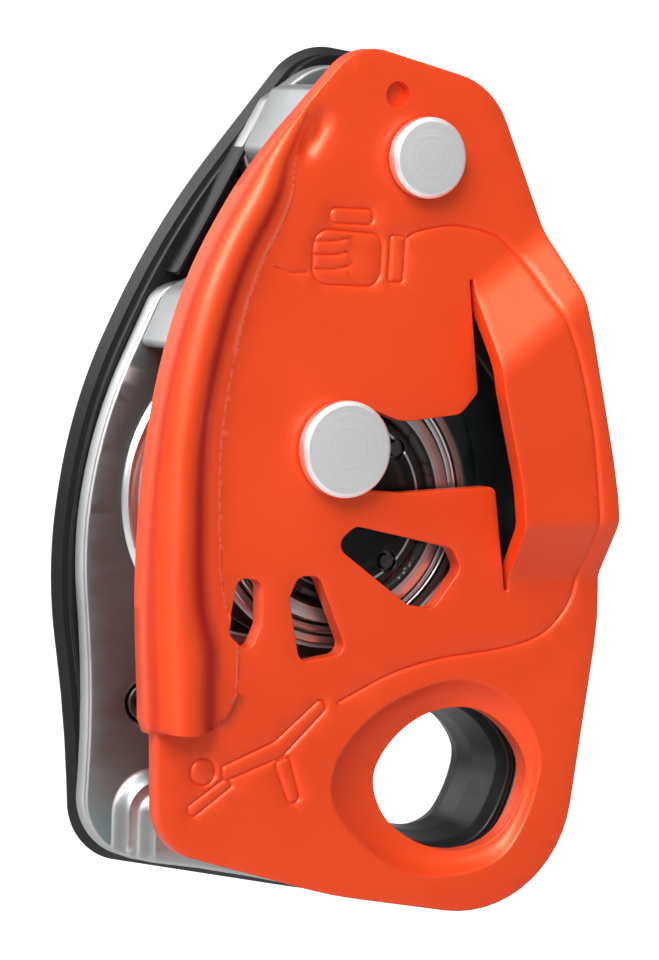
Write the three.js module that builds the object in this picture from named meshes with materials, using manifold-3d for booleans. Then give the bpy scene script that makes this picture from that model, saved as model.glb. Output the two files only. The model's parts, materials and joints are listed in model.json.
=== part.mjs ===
// Rope descender with a wheel on a spring-loaded cam, a swinging front plate and a folding handle.
// Millimetres. +X right, +Y towards the back cover, +Z up. The origin is the centre of the attachment eye.
import * as THREE from 'three';
import { mergeVertices } from 'three/addons/utils/BufferGeometryUtils.js';
import Module from 'manifold-3d';

const wasm = await Module();
wasm.setup();

// ---------------------------------------------------------------- driving dimensions
const GAP = 0.3;                 // clearance between pieces that touch
const SHEET = 2.8;               // thickness of the moving plate
const PLATE_FRONT = -11.0;       // front face of the moving plate
const PLATE_BACK = PLATE_FRONT + SHEET;
const BRIDGE_FRONT = -17.0;      // front face of the raised bridge
const DISH_DEPTH = 3.0;          // how far the eye is pressed in
const CHANNEL_FRONT = -7.6;      // foremost face of what stands in the rope channel
const FLOOR = 6.5;               // front face of the fixed plate
const FIXED_BACK = 9.5;          // back face of the fixed plate
const PLATFORM_FRONT = 2.6;      // raised lower part of the fixed plate
const EYE_RING_FRONT = -4.4;     // front of the fixed plate's ring around the eye
const COVER_FRONT = FIXED_BACK + GAP;
const COVER_BACK = 15.2;
const COVER_WALL = 2.2;
const HANDLE_FRONT = COVER_BACK + 0.5;
const HANDLE_BACK = 20.8;

const PIVOT = { x: -5.1, z: 79.6 };        // the moving plate turns about this rivet
const AXLE = { x: -16.8, z: 43.2 };        // the cam and the handle turn about this axle
const WHEEL = { x: -14.4, z: 35.9 };       // wheel centre, off the cam axle
const DISC = { x: -18.9, z: 36.1 };        // wear disc on the fixed plate
const HINGE = { x: 3.0, z: 66.0 };         // fold of the handle

const PIVOT_R = 3.0;
const PIVOT_HEAD_R = 5.15;
const AXLE_R = 3.0;
const AXLE_HEAD_R = 6.15;
const HEAD_PROUD = 2.3;
const WHEEL_FRONT = -5.7;        // front face of the wheel's rim
const CAP_FRONT = -6.4;          // front face of the cap that holds the wheel
const FLANGE_R = 18.7;
const ROOT_R = 15.0;
const JOURNAL_R = 12.4;
const DISC_R = 20.6;
const BRIDGE_WALL = 3.2;         // thickness of the bridge along the depth
const STOP_RADIUS = 13.0;        // cam stop pin, from the axle
const CAM_TRAVEL = 60;           // degrees
const STOP_START = -101.8;       // direction of the stop pin from the axle, degrees

// ---------------------------------------------------------------- geometry helpers
function toSolid(geometry) {
  geometry.deleteAttribute('normal');
  geometry.deleteAttribute('uv');
  const merged = mergeVertices(geometry, 1e-4);
  const vertProperties = new Float32Array(merged.attributes.position.array);
  const triVerts = new Uint32Array(merged.index.array);
  const solid = new wasm.Manifold(new wasm.Mesh({ numProp: 3, vertProperties, triVerts }));
  if (solid.volume() > 0) return solid;
  for (let i = 0; i < triVerts.length; i += 3) {
    [triVerts[i + 1], triVerts[i + 2]] = [triVerts[i + 2], triVerts[i + 1]];
  }
  return new wasm.Manifold(new wasm.Mesh({ numProp: 3, vertProperties, triVerts }));
}

// A polygon with a fillet at each corner: corners are [x, z, radius].
function rounded(corners, degreesPerStep = 18) {
  const points = [];
  const count = corners.length;
  for (let i = 0; i < count; i += 1) {
    const [x, z, radius = 0] = corners[i];
    const corner = new THREE.Vector2(x, z);
    const before = new THREE.Vector2(...corners[(i + count - 1) % count].slice(0, 2)).sub(corner);
    const after = new THREE.Vector2(...corners[(i + 1) % count].slice(0, 2)).sub(corner);
    const cosine = before.dot(after) / before.length() / after.length();
    const half = Math.acos(THREE.MathUtils.clamp(cosine, -1, 1)) / 2;
    const longest = 0.49 * Math.min(before.length(), after.length());
    const reach = Math.min(radius / Math.tan(half), longest);
    if (reach < 0.05) {
      points.push(corner);
      continue;
    }
    const start = corner.clone().add(before.setLength(reach));
    const end = corner.clone().add(after.setLength(reach));
    const steps = Math.max(2, Math.round(THREE.MathUtils.radToDeg(Math.PI - 2 * half) / degreesPerStep));
    const arcRadius = reach * Math.tan(half);
    const centre = corner.clone().add(start.clone().add(end).multiplyScalar(0.5).sub(corner)
      .setLength(arcRadius / Math.sin(half)));
    const from = Math.atan2(start.y - centre.y, start.x - centre.x);
    let sweep = Math.atan2(end.y - centre.y, end.x - centre.x) - from;
    if (sweep > Math.PI) sweep -= 2 * Math.PI;
    if (sweep < -Math.PI) sweep += 2 * Math.PI;
    for (let k = 0; k <= steps; k += 1) {
      const angle = from + sweep * k / steps;
      const onArc = new THREE.Vector2(Math.cos(angle), Math.sin(angle));
      points.push(onArc.multiplyScalar(arcRadius).add(centre));
    }
  }
  return points;
}

// A closed smooth curve through a few points.
function smooth(points, steps) {
  return new THREE.SplineCurve(points.concat([points[0]]).map(([x, z]) => new THREE.Vector2(x, z)))
    .getPoints(steps).slice(0, steps);
}

function circle(centre, radius, steps = 32) {
  return Array.from({ length: steps }, (_, i) => new THREE.Vector2(
    centre.x + radius * Math.cos(2 * Math.PI * i / steps),
    centre.z + radius * Math.sin(2 * Math.PI * i / steps),
  ));
}

// Points of an arc in degrees, for use inside an outline.
function arc(centre, radius, from, to, steps = 10) {
  return Array.from({ length: steps + 1 }, (_, i) => {
    const angle = THREE.MathUtils.degToRad(from + (to - from) * i / steps);
    return [centre.x + radius * Math.cos(angle), centre.z + radius * Math.sin(angle)];
  });
}

// The outline moved outwards (or inwards, when distance is negative) by the distance.
function offset(points, distance) {
  const side = THREE.ShapeUtils.area(points) > 0 ? 1 : -1;
  const count = points.length;
  return points.map((point, i) => {
    const along = points[(i + 1) % count].clone().sub(points[(i + count - 1) % count]).normalize();
    return new THREE.Vector2(point.x + side * along.y * distance, point.y - side * along.x * distance);
  });
}

// Straight walls along Y between two depths.
function prism(outline, front, back) {
  const shape = new THREE.Shape(outline);
  const geometry = new THREE.ExtrudeGeometry(shape, { depth: back - front, bevelEnabled: false });
  geometry.rotateX(Math.PI / 2);
  geometry.translate(0, back, 0);
  return toSolid(geometry);
}

const rod = (centre, radius, front, back, steps = 20) => prism(circle(centre, radius, steps), front, back);

// A closed body through rings of equal point count; flat is the ring in its own plane, for the two ends.
function loft(rings, flat) {
  const count = flat.length;
  const positions = rings.flat().flatMap((point) => [point.x, point.y, point.z]);
  const index = [];
  for (let ring = 0; ring + 1 < rings.length; ring += 1) {
    for (let i = 0; i < count; i += 1) {
      const next = (i + 1) % count;
      const a = ring * count + i;
      const b = ring * count + next;
      index.push(a, b, b + count, a, b + count, a + count);
    }
  }
  const last = (rings.length - 1) * count;
  const cap = THREE.ShapeUtils.triangulateShape(flat, []);
  const triangleArea = ([a, b, c]) => THREE.ShapeUtils.area([flat[a], flat[b], flat[c]]);
  const capArea = cap.reduce((sum, triangle) => sum + triangleArea(triangle), 0);
  const sameTurn = capArea * THREE.ShapeUtils.area(flat) > 0;
  for (const triangle of cap) {
    const [a, b, c] = sameTurn ? triangle : [...triangle].reverse();
    index.push(c, b, a, last + a, last + b, last + c);
  }
  const geometry = new THREE.BufferGeometry();
  geometry.setAttribute('position', new THREE.Float32BufferAttribute(positions, 3));
  geometry.setIndex(index);
  return toSolid(geometry);
}

// A tapering body between outlines of equal point count at given depths.
function taper(sections) {
  const rings = sections.map(({ outline, y }) => outline.map((p) => new THREE.Vector3(p.x, y, p.y)));
  return loft(rings, sections[0].outline);
}

// A turned part about an axis along Y; profile is [radius, y] and is closed on the axis or on itself.
function turned(centre, profile, steps = 24) {
  const geometry = new THREE.LatheGeometry(profile.map(([r, y]) => new THREE.Vector2(r, y)), steps);
  geometry.translate(centre.x, 0, centre.z);
  return toSolid(geometry);
}

const ring = (centre, inner, outer, front, back, steps = 24) => turned(centre, [
  [inner, front], [outer, front], [outer, back], [inner, back], [inner, front],
], steps);

function wire(points, radius, steps, sides = 6) {
  const path = new THREE.CatmullRomCurve3(points);
  const section = new THREE.Shape(circle({ x: 0, z: 0 }, radius, sides));
  return toSolid(new THREE.ExtrudeGeometry(section, { steps, extrudePath: path, bevelEnabled: false }));
}

const at = (centre, radius, degrees) => ({
  x: centre.x + radius * Math.cos(THREE.MathUtils.degToRad(degrees)),
  z: centre.z + radius * Math.sin(THREE.MathUtils.degToRad(degrees)),
});

const FINISH = {
  orange: { color: 0xe4491f, metalness: 0.45, roughness: 0.38 },
  silver: { color: 0xb9bbbd, metalness: 0.9, roughness: 0.38 },
  steel: { color: 0xc9c9c8, metalness: 1.0, roughness: 0.3 },
  darkSteel: { color: 0x6d6f72, metalness: 1.0, roughness: 0.4 },
  bronze: { color: 0xa8834a, metalness: 0.9, roughness: 0.4 },
  nylon: { color: 0x1d1f21, metalness: 0.0, roughness: 0.5 },
  polymer: { color: 0xd9d6cc, metalness: 0.0, roughness: 0.6 },
};

const descender = new THREE.Group();

function add(name, solid, finish) {
  const mesh = solid.getMesh();
  const geometry = new THREE.BufferGeometry();
  geometry.setAttribute('position', new THREE.Float32BufferAttribute(mesh.vertProperties, 3));
  geometry.setIndex(new THREE.Uint32BufferAttribute(mesh.triVerts, 1));
  geometry.computeVertexNormals();
  const part = new THREE.Mesh(geometry, new THREE.MeshStandardMaterial(FINISH[finish]));
  part.name = name;
  descender.add(part);
}

// ---------------------------------------------------------------- shared outlines (x, z)
const PLATE_OUTLINE = rounded([
  [-14.2, 94.2, 7], [5.2, 88.6, 10], [15.4, 62.5, 60], [20.4, 36, 60], [20.8, 20, 40],
  [14.0, -19.8, 20], [-18.0, -13.6, 60], [-42.4, -5.9, 7], [-42.4, 9.6, 0.8], [-33.0, 10.4, 0],
  [-32.4, 20.0, 0], [-34.2, 29, 0], [-34.2, 46, 20], [-28.3, 67, 20], [-24.2, 76, 0], [-23.6, 83.4, 0],
], 12);
const EYE = smooth([
  [10.6, 0.0], [8.6, 5.2], [3.8, 8.7], [-2.4, 8.6], [-7.6, 5.4], [-10.4, 0.6], [-8.6, -4.8],
  [-3.4, -8.5],
  [2.6, -9.4], [7.6, -6.9],
], 30);
const DISH = smooth([
  [11.4, 0.6], [9.4, 7.6], [4.6, 11.9], [-2.0, 13.0], [-11.2, 9.9], [-17.4, 3.8], [-17.6, -2.8],
  [-10.8, -9.7], [-2.6, -12.1], [6.4, -9.4],
], 30);
const FIXED_OUTLINE = rounded([
  [-33.5, 62.9, 4], [-41.3, 47.5, 40], [-44.8, 32, 30], [-43.4, 11, 60], [-45.0, -8.6, 8.5],
  [-30, -11.0, 40], [-8, -16.4, 60], [15.8, -19.0, 14], [20.6, 14, 40], [19.6, 38, 60], [14.4, 62, 60],
  [5.0, 87.4, 10], [-10.2, 91.9, 9], [-18.2, 86.8, 1.5], [-22.2, 80.4, 2.5], [-20.4, 76.0, 3],
  [-22.0, 66.0, 3],
], 12);
const COVER_OUTLINE = rounded([
  [-10.8, 94.2, 9], [5.4, 91.4, 12], [15.4, 66, 60], [21.6, 36, 70], [21.8, 4, 60], [18.2, -22.0, 12],
  [-6, -17.7, 60], [-43.6, -9.6, 8], [-44.1, 8, 60], [-46.6, 27.2, 60], [-42.9, 48.3, 60],
  [-31.4, 70.5, 60],
], 12);

// ---------------------------------------------------------------- moving side plate
// The bridge lies between two oblique slopes; its region is cut out of the flat plate and pressed forwards.
const SLIT = [[1.8, 62.1], [3.0, 50.0], [5.6, 38.0], [6.7, 25.4]];
const LOWER_CREASE_Z = 25.4;
const LOWER_SLOPE_RUN = 7.4;
const UPPER_CREASE = { x: 1.8, z: 62.1, degrees: 38 };
const UPPER_SLOPE_RUN = 8.4;

// Half of the ridge: its section is (distance past the crease, depth), and it runs far along the crease.
function slopeBody(origin, degrees, run, lift) {
  const rise = PLATE_FRONT - BRIDGE_FRONT;
  const far = 70;
  const turn = THREE.MathUtils.degToRad(degrees);
  const across = new THREE.Vector3(Math.cos(turn), 0, Math.sin(turn));
  const up = new THREE.Vector3(-Math.sin(turn), 0, Math.cos(turn));
  const section = [[0, 12], [0, 0], [run, -rise], [far, -rise], [far, 12]];
  const flat = section.map(([s, y]) => new THREE.Vector2(s, y));
  const rings = [-far, far].map((side) => section.map(([s, y]) => new THREE.Vector3(
    origin.x + across.x * side + up.x * s, PLATE_FRONT + lift + y, origin.z + across.z * side + up.z * s,
  )));
  return loft(rings, flat);
}

function ridge(lift) {
  const lower = slopeBody({ x: 0, z: LOWER_CREASE_Z }, 0, LOWER_SLOPE_RUN, lift);
  const upper = slopeBody(UPPER_CREASE, UPPER_CREASE.degrees + 180, UPPER_SLOPE_RUN, lift);
  return lower.intersect(upper);
}

// Rolled lip along the left edge: each section runs from the crease (0) to the outer edge (1).
const LIP_EDGE = new THREE.SplineCurve([
  [-43.9, 9.2], [-44.3, 24.0], [-43.9, 34.0], [-42.6, 45.6], [-40.2, 56.4], [-36.4, 66.6],
  [-30.6, 76.0], [-25.2, 82.6],
].map(([x, z]) => new THREE.Vector2(x, z)));
const LIP_CREASE = new THREE.SplineCurve([
  [-32.2, 9.2], [-32.0, 19.8], [-33.6, 30.0], [-33.4, 42.0], [-31.4, 54.0], [-28.2, 64.2],
  [-24.2, 72.6], [-20.6, 79.0],
].map(([x, z]) => new THREE.Vector2(x, z)));
const LIP_SECTION = [[0, 0], [0.22, 0.9], [0.38, 1.4], [0.47, 2.8], [0.58, 4.5], [0.7, 5.3],
  [0.82, 5.0], [0.92, 3.6],
  [0.98, 1.6], [1.0, -0.4]];
const LIP_STATIONS = 14;

function lip() {
  const rings = [];
  let flat;
  for (let i = 0; i <= LIP_STATIONS; i += 1) {
    const t = i / LIP_STATIONS;
    const edge = LIP_EDGE.getPoint(t);
    const crease = LIP_CREASE.getPoint(t);
    const width = edge.distanceTo(crease);
    const height = Math.min(1, width / 10.5);
    const inner = (width - 2.4) / width;
    const outerSide = LIP_SECTION.map(([s, h]) => [s, -h * height]);
    const behind = ([s, h]) => [s * inner, Math.min(SHEET - h * height, SHEET)];
    const innerSide = LIP_SECTION.map(behind).reverse();
    const section = outerSide.concat(innerSide);
    rings.push(section.map(([s, y]) => new THREE.Vector3(
      crease.x + (edge.x - crease.x) * s, PLATE_FRONT + y, crease.y + (edge.y - crease.y) * s,
    )));
    flat ??= section.map(([s, y]) => new THREE.Vector2(s * width, y));
  }
  return loft(rings, flat);
}

const VENTS = [
  [[-32.6, 20.4, 1.2], [-31.2, 27.6, 1.4], [-27.8, 27.0, 1.4], [-27.9, 21.5, 1.2], [-29.6, 18.0, 1.2]],
  [[-24.0, 24.6, 1.4], [-22.7, 27.3, 1.4], [-19.8, 27.2, 1.4], [-15.8, 17.2, 1.4], [-22.6, 16.4, 1.4]],
  [[-17.6, 31.0, 1.6], [-14.6, 33.3, 1.6], [-0.9, 29.9, 1.6], [0.5, 27.2, 1.6], [-3.6, 22.2, 1.6],
  [-7.2, 22.9, 1.6]],
];

function movingPlate() {
  const deep = [PLATE_FRONT - 12, FLOOR];
  const flat = prism(PLATE_OUTLINE, PLATE_FRONT, PLATE_BACK);
  const window = prism(rounded([
    ...arc(AXLE, 5.0, 80, 280, 8), [-8, 37.2, 4], [4.9, 37.5, 1], [6.7, LOWER_CREASE_Z],
    [40, LOWER_CREASE_Z],
    [40, 91.9], [1.8, 62.1], [2.8, 50.2, 1.6], [0.4, 46.9, 2], [-8, 46.2, 6],
  ]), ...deep);
  const rightOfSlit = prism([...SLIT.map(([x, z]) => new THREE.Vector2(x, z)), new THREE.Vector2(40, 25.4),
    new THREE.Vector2(40, 91.9)], ...deep);
  const outlineColumn = prism(PLATE_OUTLINE, ...deep);
  const shell = ridge(0).subtract(ridge(BRIDGE_WALL)).intersect(rightOfSlit).intersect(outlineColumn);
  const pressed = taper([
    { outline: offset(DISH, 2.0), y: PLATE_FRONT + 1.0 },
    { outline: offset(DISH, 1.8), y: PLATE_BACK },
    { outline: offset(EYE, 2.0), y: PLATE_BACK + DISH_DEPTH },
  ]);
  const dish = taper([
    { outline: offset(DISH, 0.4), y: PLATE_FRONT - 0.6 },
    { outline: offset(EYE, 0.9), y: PLATE_FRONT + DISH_DEPTH },
  ]);
  const detent = rod({ x: -8.7, z: 87.5 }, 1.6, PLATE_FRONT - 1, PLATE_FRONT + 1.4);
  let plate = flat.subtract(window).add(pressed).subtract(dish).add(shell).add(lip());
  plate = plate.subtract(prism(EYE, ...deep)).subtract(detent);
  plate = plate.subtract(rod(PIVOT, 4.6, ...deep));
  for (const vent of VENTS) plate = plate.subtract(prism(rounded(vent), ...deep));
  return plate;
}
add('moving_side_plate', movingPlate(), 'orange');
add('plate_pivot_bush', ring(PIVOT, PIVOT_R + GAP, 4.3, PLATE_FRONT + 0.1, PLATE_BACK - 0.1), 'bronze');

// ---------------------------------------------------------------- fixed side
const COVER_SCREWS = [
  { x: -35.8, z: 10.1 }, { x: -22.0, z: -7.0 }, { x: 15.0, z: 40.0 }, { x: 6.4, z: 81.6 },
];
const WALL_SCREWS = [{ x: 15.6, z: 26.0 }, { x: 8.0, z: 64.0 }];
const BLOCK_RIVETS = [{ x: -28.6, z: 60.2 }, { x: -21.4, z: 62.8 }];
const CAM_SPRING_R = 3.9;
const SPRING_HOLE = at(AXLE, CAM_SPRING_R, 90);
const STOP_PIN = at(AXLE, STOP_RADIUS, STOP_START);

// Raised lower part of the plate, with a sloping step along its upper left edge.
const PLATFORM = rounded([
  [-41.2, -14, 0], [-40.4, 1.4, 7], [-30, 1.8, 12], [-18, 9.4, 12], [0, 16.6, 12], [16, 13.4, 12],
  [24, -6, 3],
  [24, -26, 0],
], 12);

function fixedPlate() {
  const column = prism(FIXED_OUTLINE, EYE_RING_FRONT, FIXED_BACK);
  const platform = taper([
    { outline: offset(PLATFORM, -4.0), y: PLATFORM_FRONT },
    { outline: PLATFORM, y: FLOOR },
    { outline: PLATFORM, y: FLOOR + 1 },
  ]);
  const eyeRing = taper([
    { outline: offset(EYE, 4.0), y: EYE_RING_FRONT },
    { outline: offset(EYE, 6.2), y: PLATFORM_FRONT + 0.6 },
  ]);
  let plate = prism(FIXED_OUTLINE, FLOOR, FIXED_BACK).add(platform.add(eyeRing).intersect(column));
  plate = plate.subtract(prism(offset(EYE, 1.7), EYE_RING_FRONT - 1, FIXED_BACK + 1));
  plate = plate.subtract(rod(AXLE, AXLE_R + GAP, 0, 12)).subtract(rod(PIVOT, PIVOT_R + GAP, 0, 12));
  plate = plate.subtract(rod(STOP_PIN, 1.5, 0, 12, 16)).subtract(rod(SPRING_HOLE, 0.9, 0, 12, 12));
  for (const screw of COVER_SCREWS) {
    plate = plate.subtract(rod(screw, 1.8, -2, 12, 10)).subtract(rod(screw, 2.8, -2, FLOOR + 1.9, 14));
  }
  for (const screw of WALL_SCREWS) plate = plate.subtract(rod(screw, 1.6, 0, 12, 10));
  for (const rivet of BLOCK_RIVETS) plate = plate.subtract(rod(rivet, 1.8, 0, 12, 10));
  return plate;
}
add('fixed_side_plate', fixedPlate(), 'silver');

const blockOutline = rounded([
  [-37.0, 55.6, 0.8], [-33.2, 62.9, 4], [-29.0, 65.0, 3], [-20.4, 65.4, 1.5], [-17.0, 62.8, 1.5],
  [-22.5, 59.8, 8], [-29.2, 56.0, 3],
]);
let frictionBlock = prism(blockOutline, CHANNEL_FRONT, FLOOR - GAP);
for (const rivet of BLOCK_RIVETS) frictionBlock = frictionBlock.subtract(rod(rivet, 1.8, 1.0, FLOOR, 10));
add('friction_block', frictionBlock, 'silver');
BLOCK_RIVETS.forEach((rivet, i) => add(`friction_rivet_${i + 1}`, turned(rivet, [
  [0, 1.4], [1.5, 1.4], [1.5, FIXED_BACK + GAP], [2.6, FIXED_BACK + GAP], [2.0, FIXED_BACK + 1.5],
  [0, FIXED_BACK + 1.7],
], 12), 'steel'));

const bossOutline = rounded([
  [-15.5, 88.7, 0.8], [-18.0, 88.3, 1], [-22.2, 80.6, 1.5], [-19.2, 75.0, 4], [-8, 71.6, 6],
  [2.6, 73.4, 6],
  [3.2, 84, 6], [-1, 88.7, 3],
]);
add('pivot_boss', prism(bossOutline, CHANNEL_FRONT + 0.8, FLOOR - GAP)
  .subtract(rod(PIVOT, PIVOT_R + GAP, -12, 12)), 'silver');
add('plate_pivot_washer',
  ring(PIVOT, PIVOT_R + GAP, 6.0, PLATE_BACK + GAP, CHANNEL_FRONT + 0.5), 'polymer');
add('plate_pivot_rivet', turned(PIVOT, [
  [0, PLATE_FRONT - HEAD_PROUD], [4.3, PLATE_FRONT - HEAD_PROUD], [PIVOT_HEAD_R, PLATE_FRONT - 1.7],
  [PIVOT_HEAD_R, PLATE_FRONT - GAP], [PIVOT_R, PLATE_FRONT - GAP], [PIVOT_R, FIXED_BACK + GAP],
  [4.6, FIXED_BACK + GAP], [4.0, FIXED_BACK + 2.2], [0, FIXED_BACK + 2.4],
]), 'steel');
add('cam_axle', turned(AXLE, [
  [0, PLATE_FRONT - HEAD_PROUD], [5.2, PLATE_FRONT - HEAD_PROUD], [AXLE_HEAD_R, PLATE_FRONT - 1.7],
  [AXLE_HEAD_R, PLATE_FRONT - GAP], [AXLE_R, PLATE_FRONT - GAP], [AXLE_R, 21.4], [2.9, 21.4],
  [2.9, 22.5],
  [AXLE_R, 22.5], [AXLE_R, 23.2], [3.0, 23.6], [0, 23.6],
]), 'steel');
add('cam_stop_pin', rod(STOP_PIN, 1.2, -0.4, FIXED_BACK, 16), 'steel');

// Wear disc: a thin ring with a bevelled rim and a raised centre, lying on the fixed plate.
add('wear_disc', turned(DISC, [
  [0, 4.8], [18.0, 4.8], [18.2, 5.4], [19.9, 5.6], [DISC_R, FLOOR - GAP], [0, FLOOR - GAP],
], 36).subtract(rod(AXLE, AXLE_R + 0.8, 0, 12)).subtract(rod(STOP_PIN, 1.5, 0, 12, 16))
  .subtract(rod(SPRING_HOLE, 0.9, 0, 12, 12)), 'steel');

// Wall of the rope channel around the wheel's right side, with a tail along the plate's edge.
const wallOutline = rounded([
  [14.6, 15.4, 1.5], [18.8, 15.6, 1.5], [19.2, 36, 60], [14.8, 57, 60], [7.6, 79.4, 2.5], [4.8, 72, 3],
  [-4.5, 69.4, 1.5], [-3.6, 62.2, 2], ...arc(WHEEL, 26.0, 52, -32, 7),
]);
let channelWall = prism(wallOutline, CHANNEL_FRONT, FLOOR - GAP);
for (const screw of WALL_SCREWS) channelWall = channelWall.subtract(rod(screw, 1.6, 0.5, 12, 10));
add('channel_wall', channelWall, 'nylon');
WALL_SCREWS.forEach((screw, i) => add(`wall_screw_${i + 1}`, turned(screw, [
  [0, 1.0], [1.3, 1.0], [1.3, FIXED_BACK + GAP], [2.6, FIXED_BACK + GAP], [2.4, FIXED_BACK + 1.8],
  [0, FIXED_BACK + 1.8],
], 12), 'darkSteel'));

add('eye_bushing', taper([
  { outline: offset(EYE, 1.3), y: EYE_RING_FRONT + 0.1 },
  { outline: offset(EYE, 1.3), y: 11.0 },
]).subtract(taper([
  { outline: offset(EYE, 0.35), y: EYE_RING_FRONT - 0.5 },
  { outline: offset(EYE, -1.2), y: 2.5 },
  { outline: offset(EYE, -1.4), y: 7.0 },
  { outline: offset(EYE, 0.2), y: 11.6 },
])), 'nylon');

// ---------------------------------------------------------------- back cover
const HUB_HOLE_R = 8.4;

function backCover() {
  const shell = prism(COVER_OUTLINE, COVER_FRONT, COVER_BACK);
  let room = prism(offset(COVER_OUTLINE, -COVER_WALL), COVER_FRONT - 1, COVER_BACK - COVER_WALL);
  for (const screw of COVER_SCREWS) room = room.subtract(rod(screw, 3.6, 0, 20));
  room = room.subtract(prism(offset(EYE, 6.4), 0, 20));
  let cover = shell.subtract(room).subtract(prism(offset(EYE, 1.7), 0, 20));
  cover = cover.subtract(taper([
    { outline: offset(EYE, 2.4), y: 11.2 },
    { outline: offset(EYE, 5.4), y: COVER_BACK + 0.4 },
  ]));
  for (const screw of COVER_SCREWS) cover = cover.subtract(rod(screw, 1.6, 0, 14, 10));
  return cover.subtract(rod(AXLE, HUB_HOLE_R, 0, 20, 32));
}
add('back_cover', backCover(), 'nylon');
COVER_SCREWS.forEach((screw, i) => add(`cover_screw_${i + 1}`, turned(screw, [
  [0, FLOOR + 0.3], [1.0, FLOOR + 0.3], [1.0, FLOOR + 0.1], [2.4, FLOOR + 0.1], [2.4, FLOOR + 1.6],
  [1.2, FLOOR + 1.6], [1.2, 13.6], [0, 13.6],
], 12), 'darkSteel'));

// ---------------------------------------------------------------- cam and wheel
const JOURNAL_FRONT = -5.1;
const CAM_BACK = 4.4;
const POCKET_R = 4.6;
const CAM_BORE_R = 4.2;
const CAP_R = 15.4;
const POCKET_FRONT = 0.6;
const CAM_LEG = at(AXLE, CAM_SPRING_R, 270);
const CAP_SCREWS = [40, 190, 310].map((degrees) => at(WHEEL, 10.2, degrees));

function camBody() {
  const journal = rod(WHEEL, JOURNAL_R, JOURNAL_FRONT, CAM_BACK, 40);
  const flange = rod(WHEEL, 16.2, 3.5, CAM_BACK, 40);
    const stopSlot = prism([
    ...arc(AXLE, STOP_RADIUS + 1.6, STOP_START - 8, STOP_START + CAM_TRAVEL + 8, 10),
    ...arc(AXLE, STOP_RADIUS - 1.6, STOP_START + CAM_TRAVEL + 8, STOP_START - 8, 10),
  ].map(([x, z]) => new THREE.Vector2(x, z)), -0.8, 8);
  let cam = journal.add(flange).subtract(stopSlot);
  cam = cam.subtract(rod(AXLE, CAM_BORE_R, -20, 20, 32));
  cam = cam.subtract(rod(AXLE, POCKET_R, POCKET_FRONT, 20, 32));
  cam = cam.subtract(rod(CAM_LEG, 0.9, -2.4, 2, 12));
  for (const screw of CAP_SCREWS) cam = cam.subtract(rod(screw, 1.1, -20, -1.8, 12));
  return cam;
}
add('cam_body', camBody(), 'silver');
add('cam_bush', ring(AXLE, AXLE_R + GAP, CAM_BORE_R - GAP, JOURNAL_FRONT, -2.4), 'bronze');

function retainingCap() {
  let cap = ring(WHEEL, 2.0, CAP_R, CAP_FRONT, JOURNAL_FRONT - GAP, 40);
  cap = cap.subtract(rod(AXLE, CAM_BORE_R, -20, 20, 32));
  for (const screw of CAP_SCREWS) cap = cap.subtract(rod(screw, 1.3, -20, 0, 12));
  return cap;
}
add('wheel_retaining_cap', retainingCap(), 'darkSteel');
CAP_SCREWS.forEach((screw, i) => add(`cap_screw_${i + 1}`, rod(screw, 0.9, CAP_FRONT + 0.1, -2.2, 12), 'steel'));

const springTurns = 3;
const springCoil = [];
for (let i = 0; i <= 12 * springTurns + 6; i += 1) {
  const turn = 90 + 30 * i;
  const place = at(AXLE, CAM_SPRING_R, turn);
  springCoil.push(new THREE.Vector3(place.x, 3.9 - 2.7 * i / (12 * springTurns + 6), place.z));
}
add('cam_return_spring', wire([
  new THREE.Vector3(SPRING_HOLE.x, 8.6, SPRING_HOLE.z),
  new THREE.Vector3(SPRING_HOLE.x, 6.0, SPRING_HOLE.z),
  ...springCoil,
  new THREE.Vector3(CAM_LEG.x, -0.4, CAM_LEG.z), new THREE.Vector3(CAM_LEG.x, -1.9, CAM_LEG.z),
], 0.38, 56, 5), 'steel');

add('wheel', turned(WHEEL, [
  [JOURNAL_R + 1.1, JOURNAL_FRONT], [CAP_R + 0.4, JOURNAL_FRONT], [CAP_R + 0.4, WHEEL_FRONT],
  [18.0, WHEEL_FRONT], [FLANGE_R, WHEEL_FRONT + 0.5],
  [FLANGE_R, WHEEL_FRONT + 1.0], [ROOT_R + 1.2, -4.0], [ROOT_R, -2.2], [ROOT_R + 1.2, -0.4], [FLANGE_R, 1.9],
  [FLANGE_R, 2.6],
  [18.0, 3.1], [JOURNAL_R + 1.1, 3.1], [JOURNAL_R + 1.1, JOURNAL_FRONT],
], 44), 'steel');
add('wheel_bush', ring(WHEEL, JOURNAL_R + GAP, JOURNAL_R + 0.8, JOURNAL_FRONT + 0.1, 3.1, 40), 'bronze');

// ---------------------------------------------------------------- handle
const SLEEVE_R = 5.6;
const SQUARE = 5.2;              // half the width of the sleeve's square end

const squareHole = (half) => prism([
  new THREE.Vector2(AXLE.x - half, AXLE.z - half), new THREE.Vector2(AXLE.x + half, AXLE.z - half),
  new THREE.Vector2(AXLE.x + half, AXLE.z + half), new THREE.Vector2(AXLE.x - half, AXLE.z + half),
], HANDLE_FRONT - 1, 31);

add('handle_drive_sleeve', turned(AXLE, [
  [AXLE_R + GAP, COVER_FRONT + GAP], [7.6, COVER_FRONT + GAP], [7.6, 11.9], [SLEEVE_R, 11.9],
  [SLEEVE_R, 20.4],
  [AXLE_R + GAP, 20.4], [AXLE_R + GAP, COVER_FRONT + GAP],
]).intersect(rod(AXLE, 9, 0, HANDLE_FRONT - 0.2).add(squareHole(SQUARE))), 'darkSteel');

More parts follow.
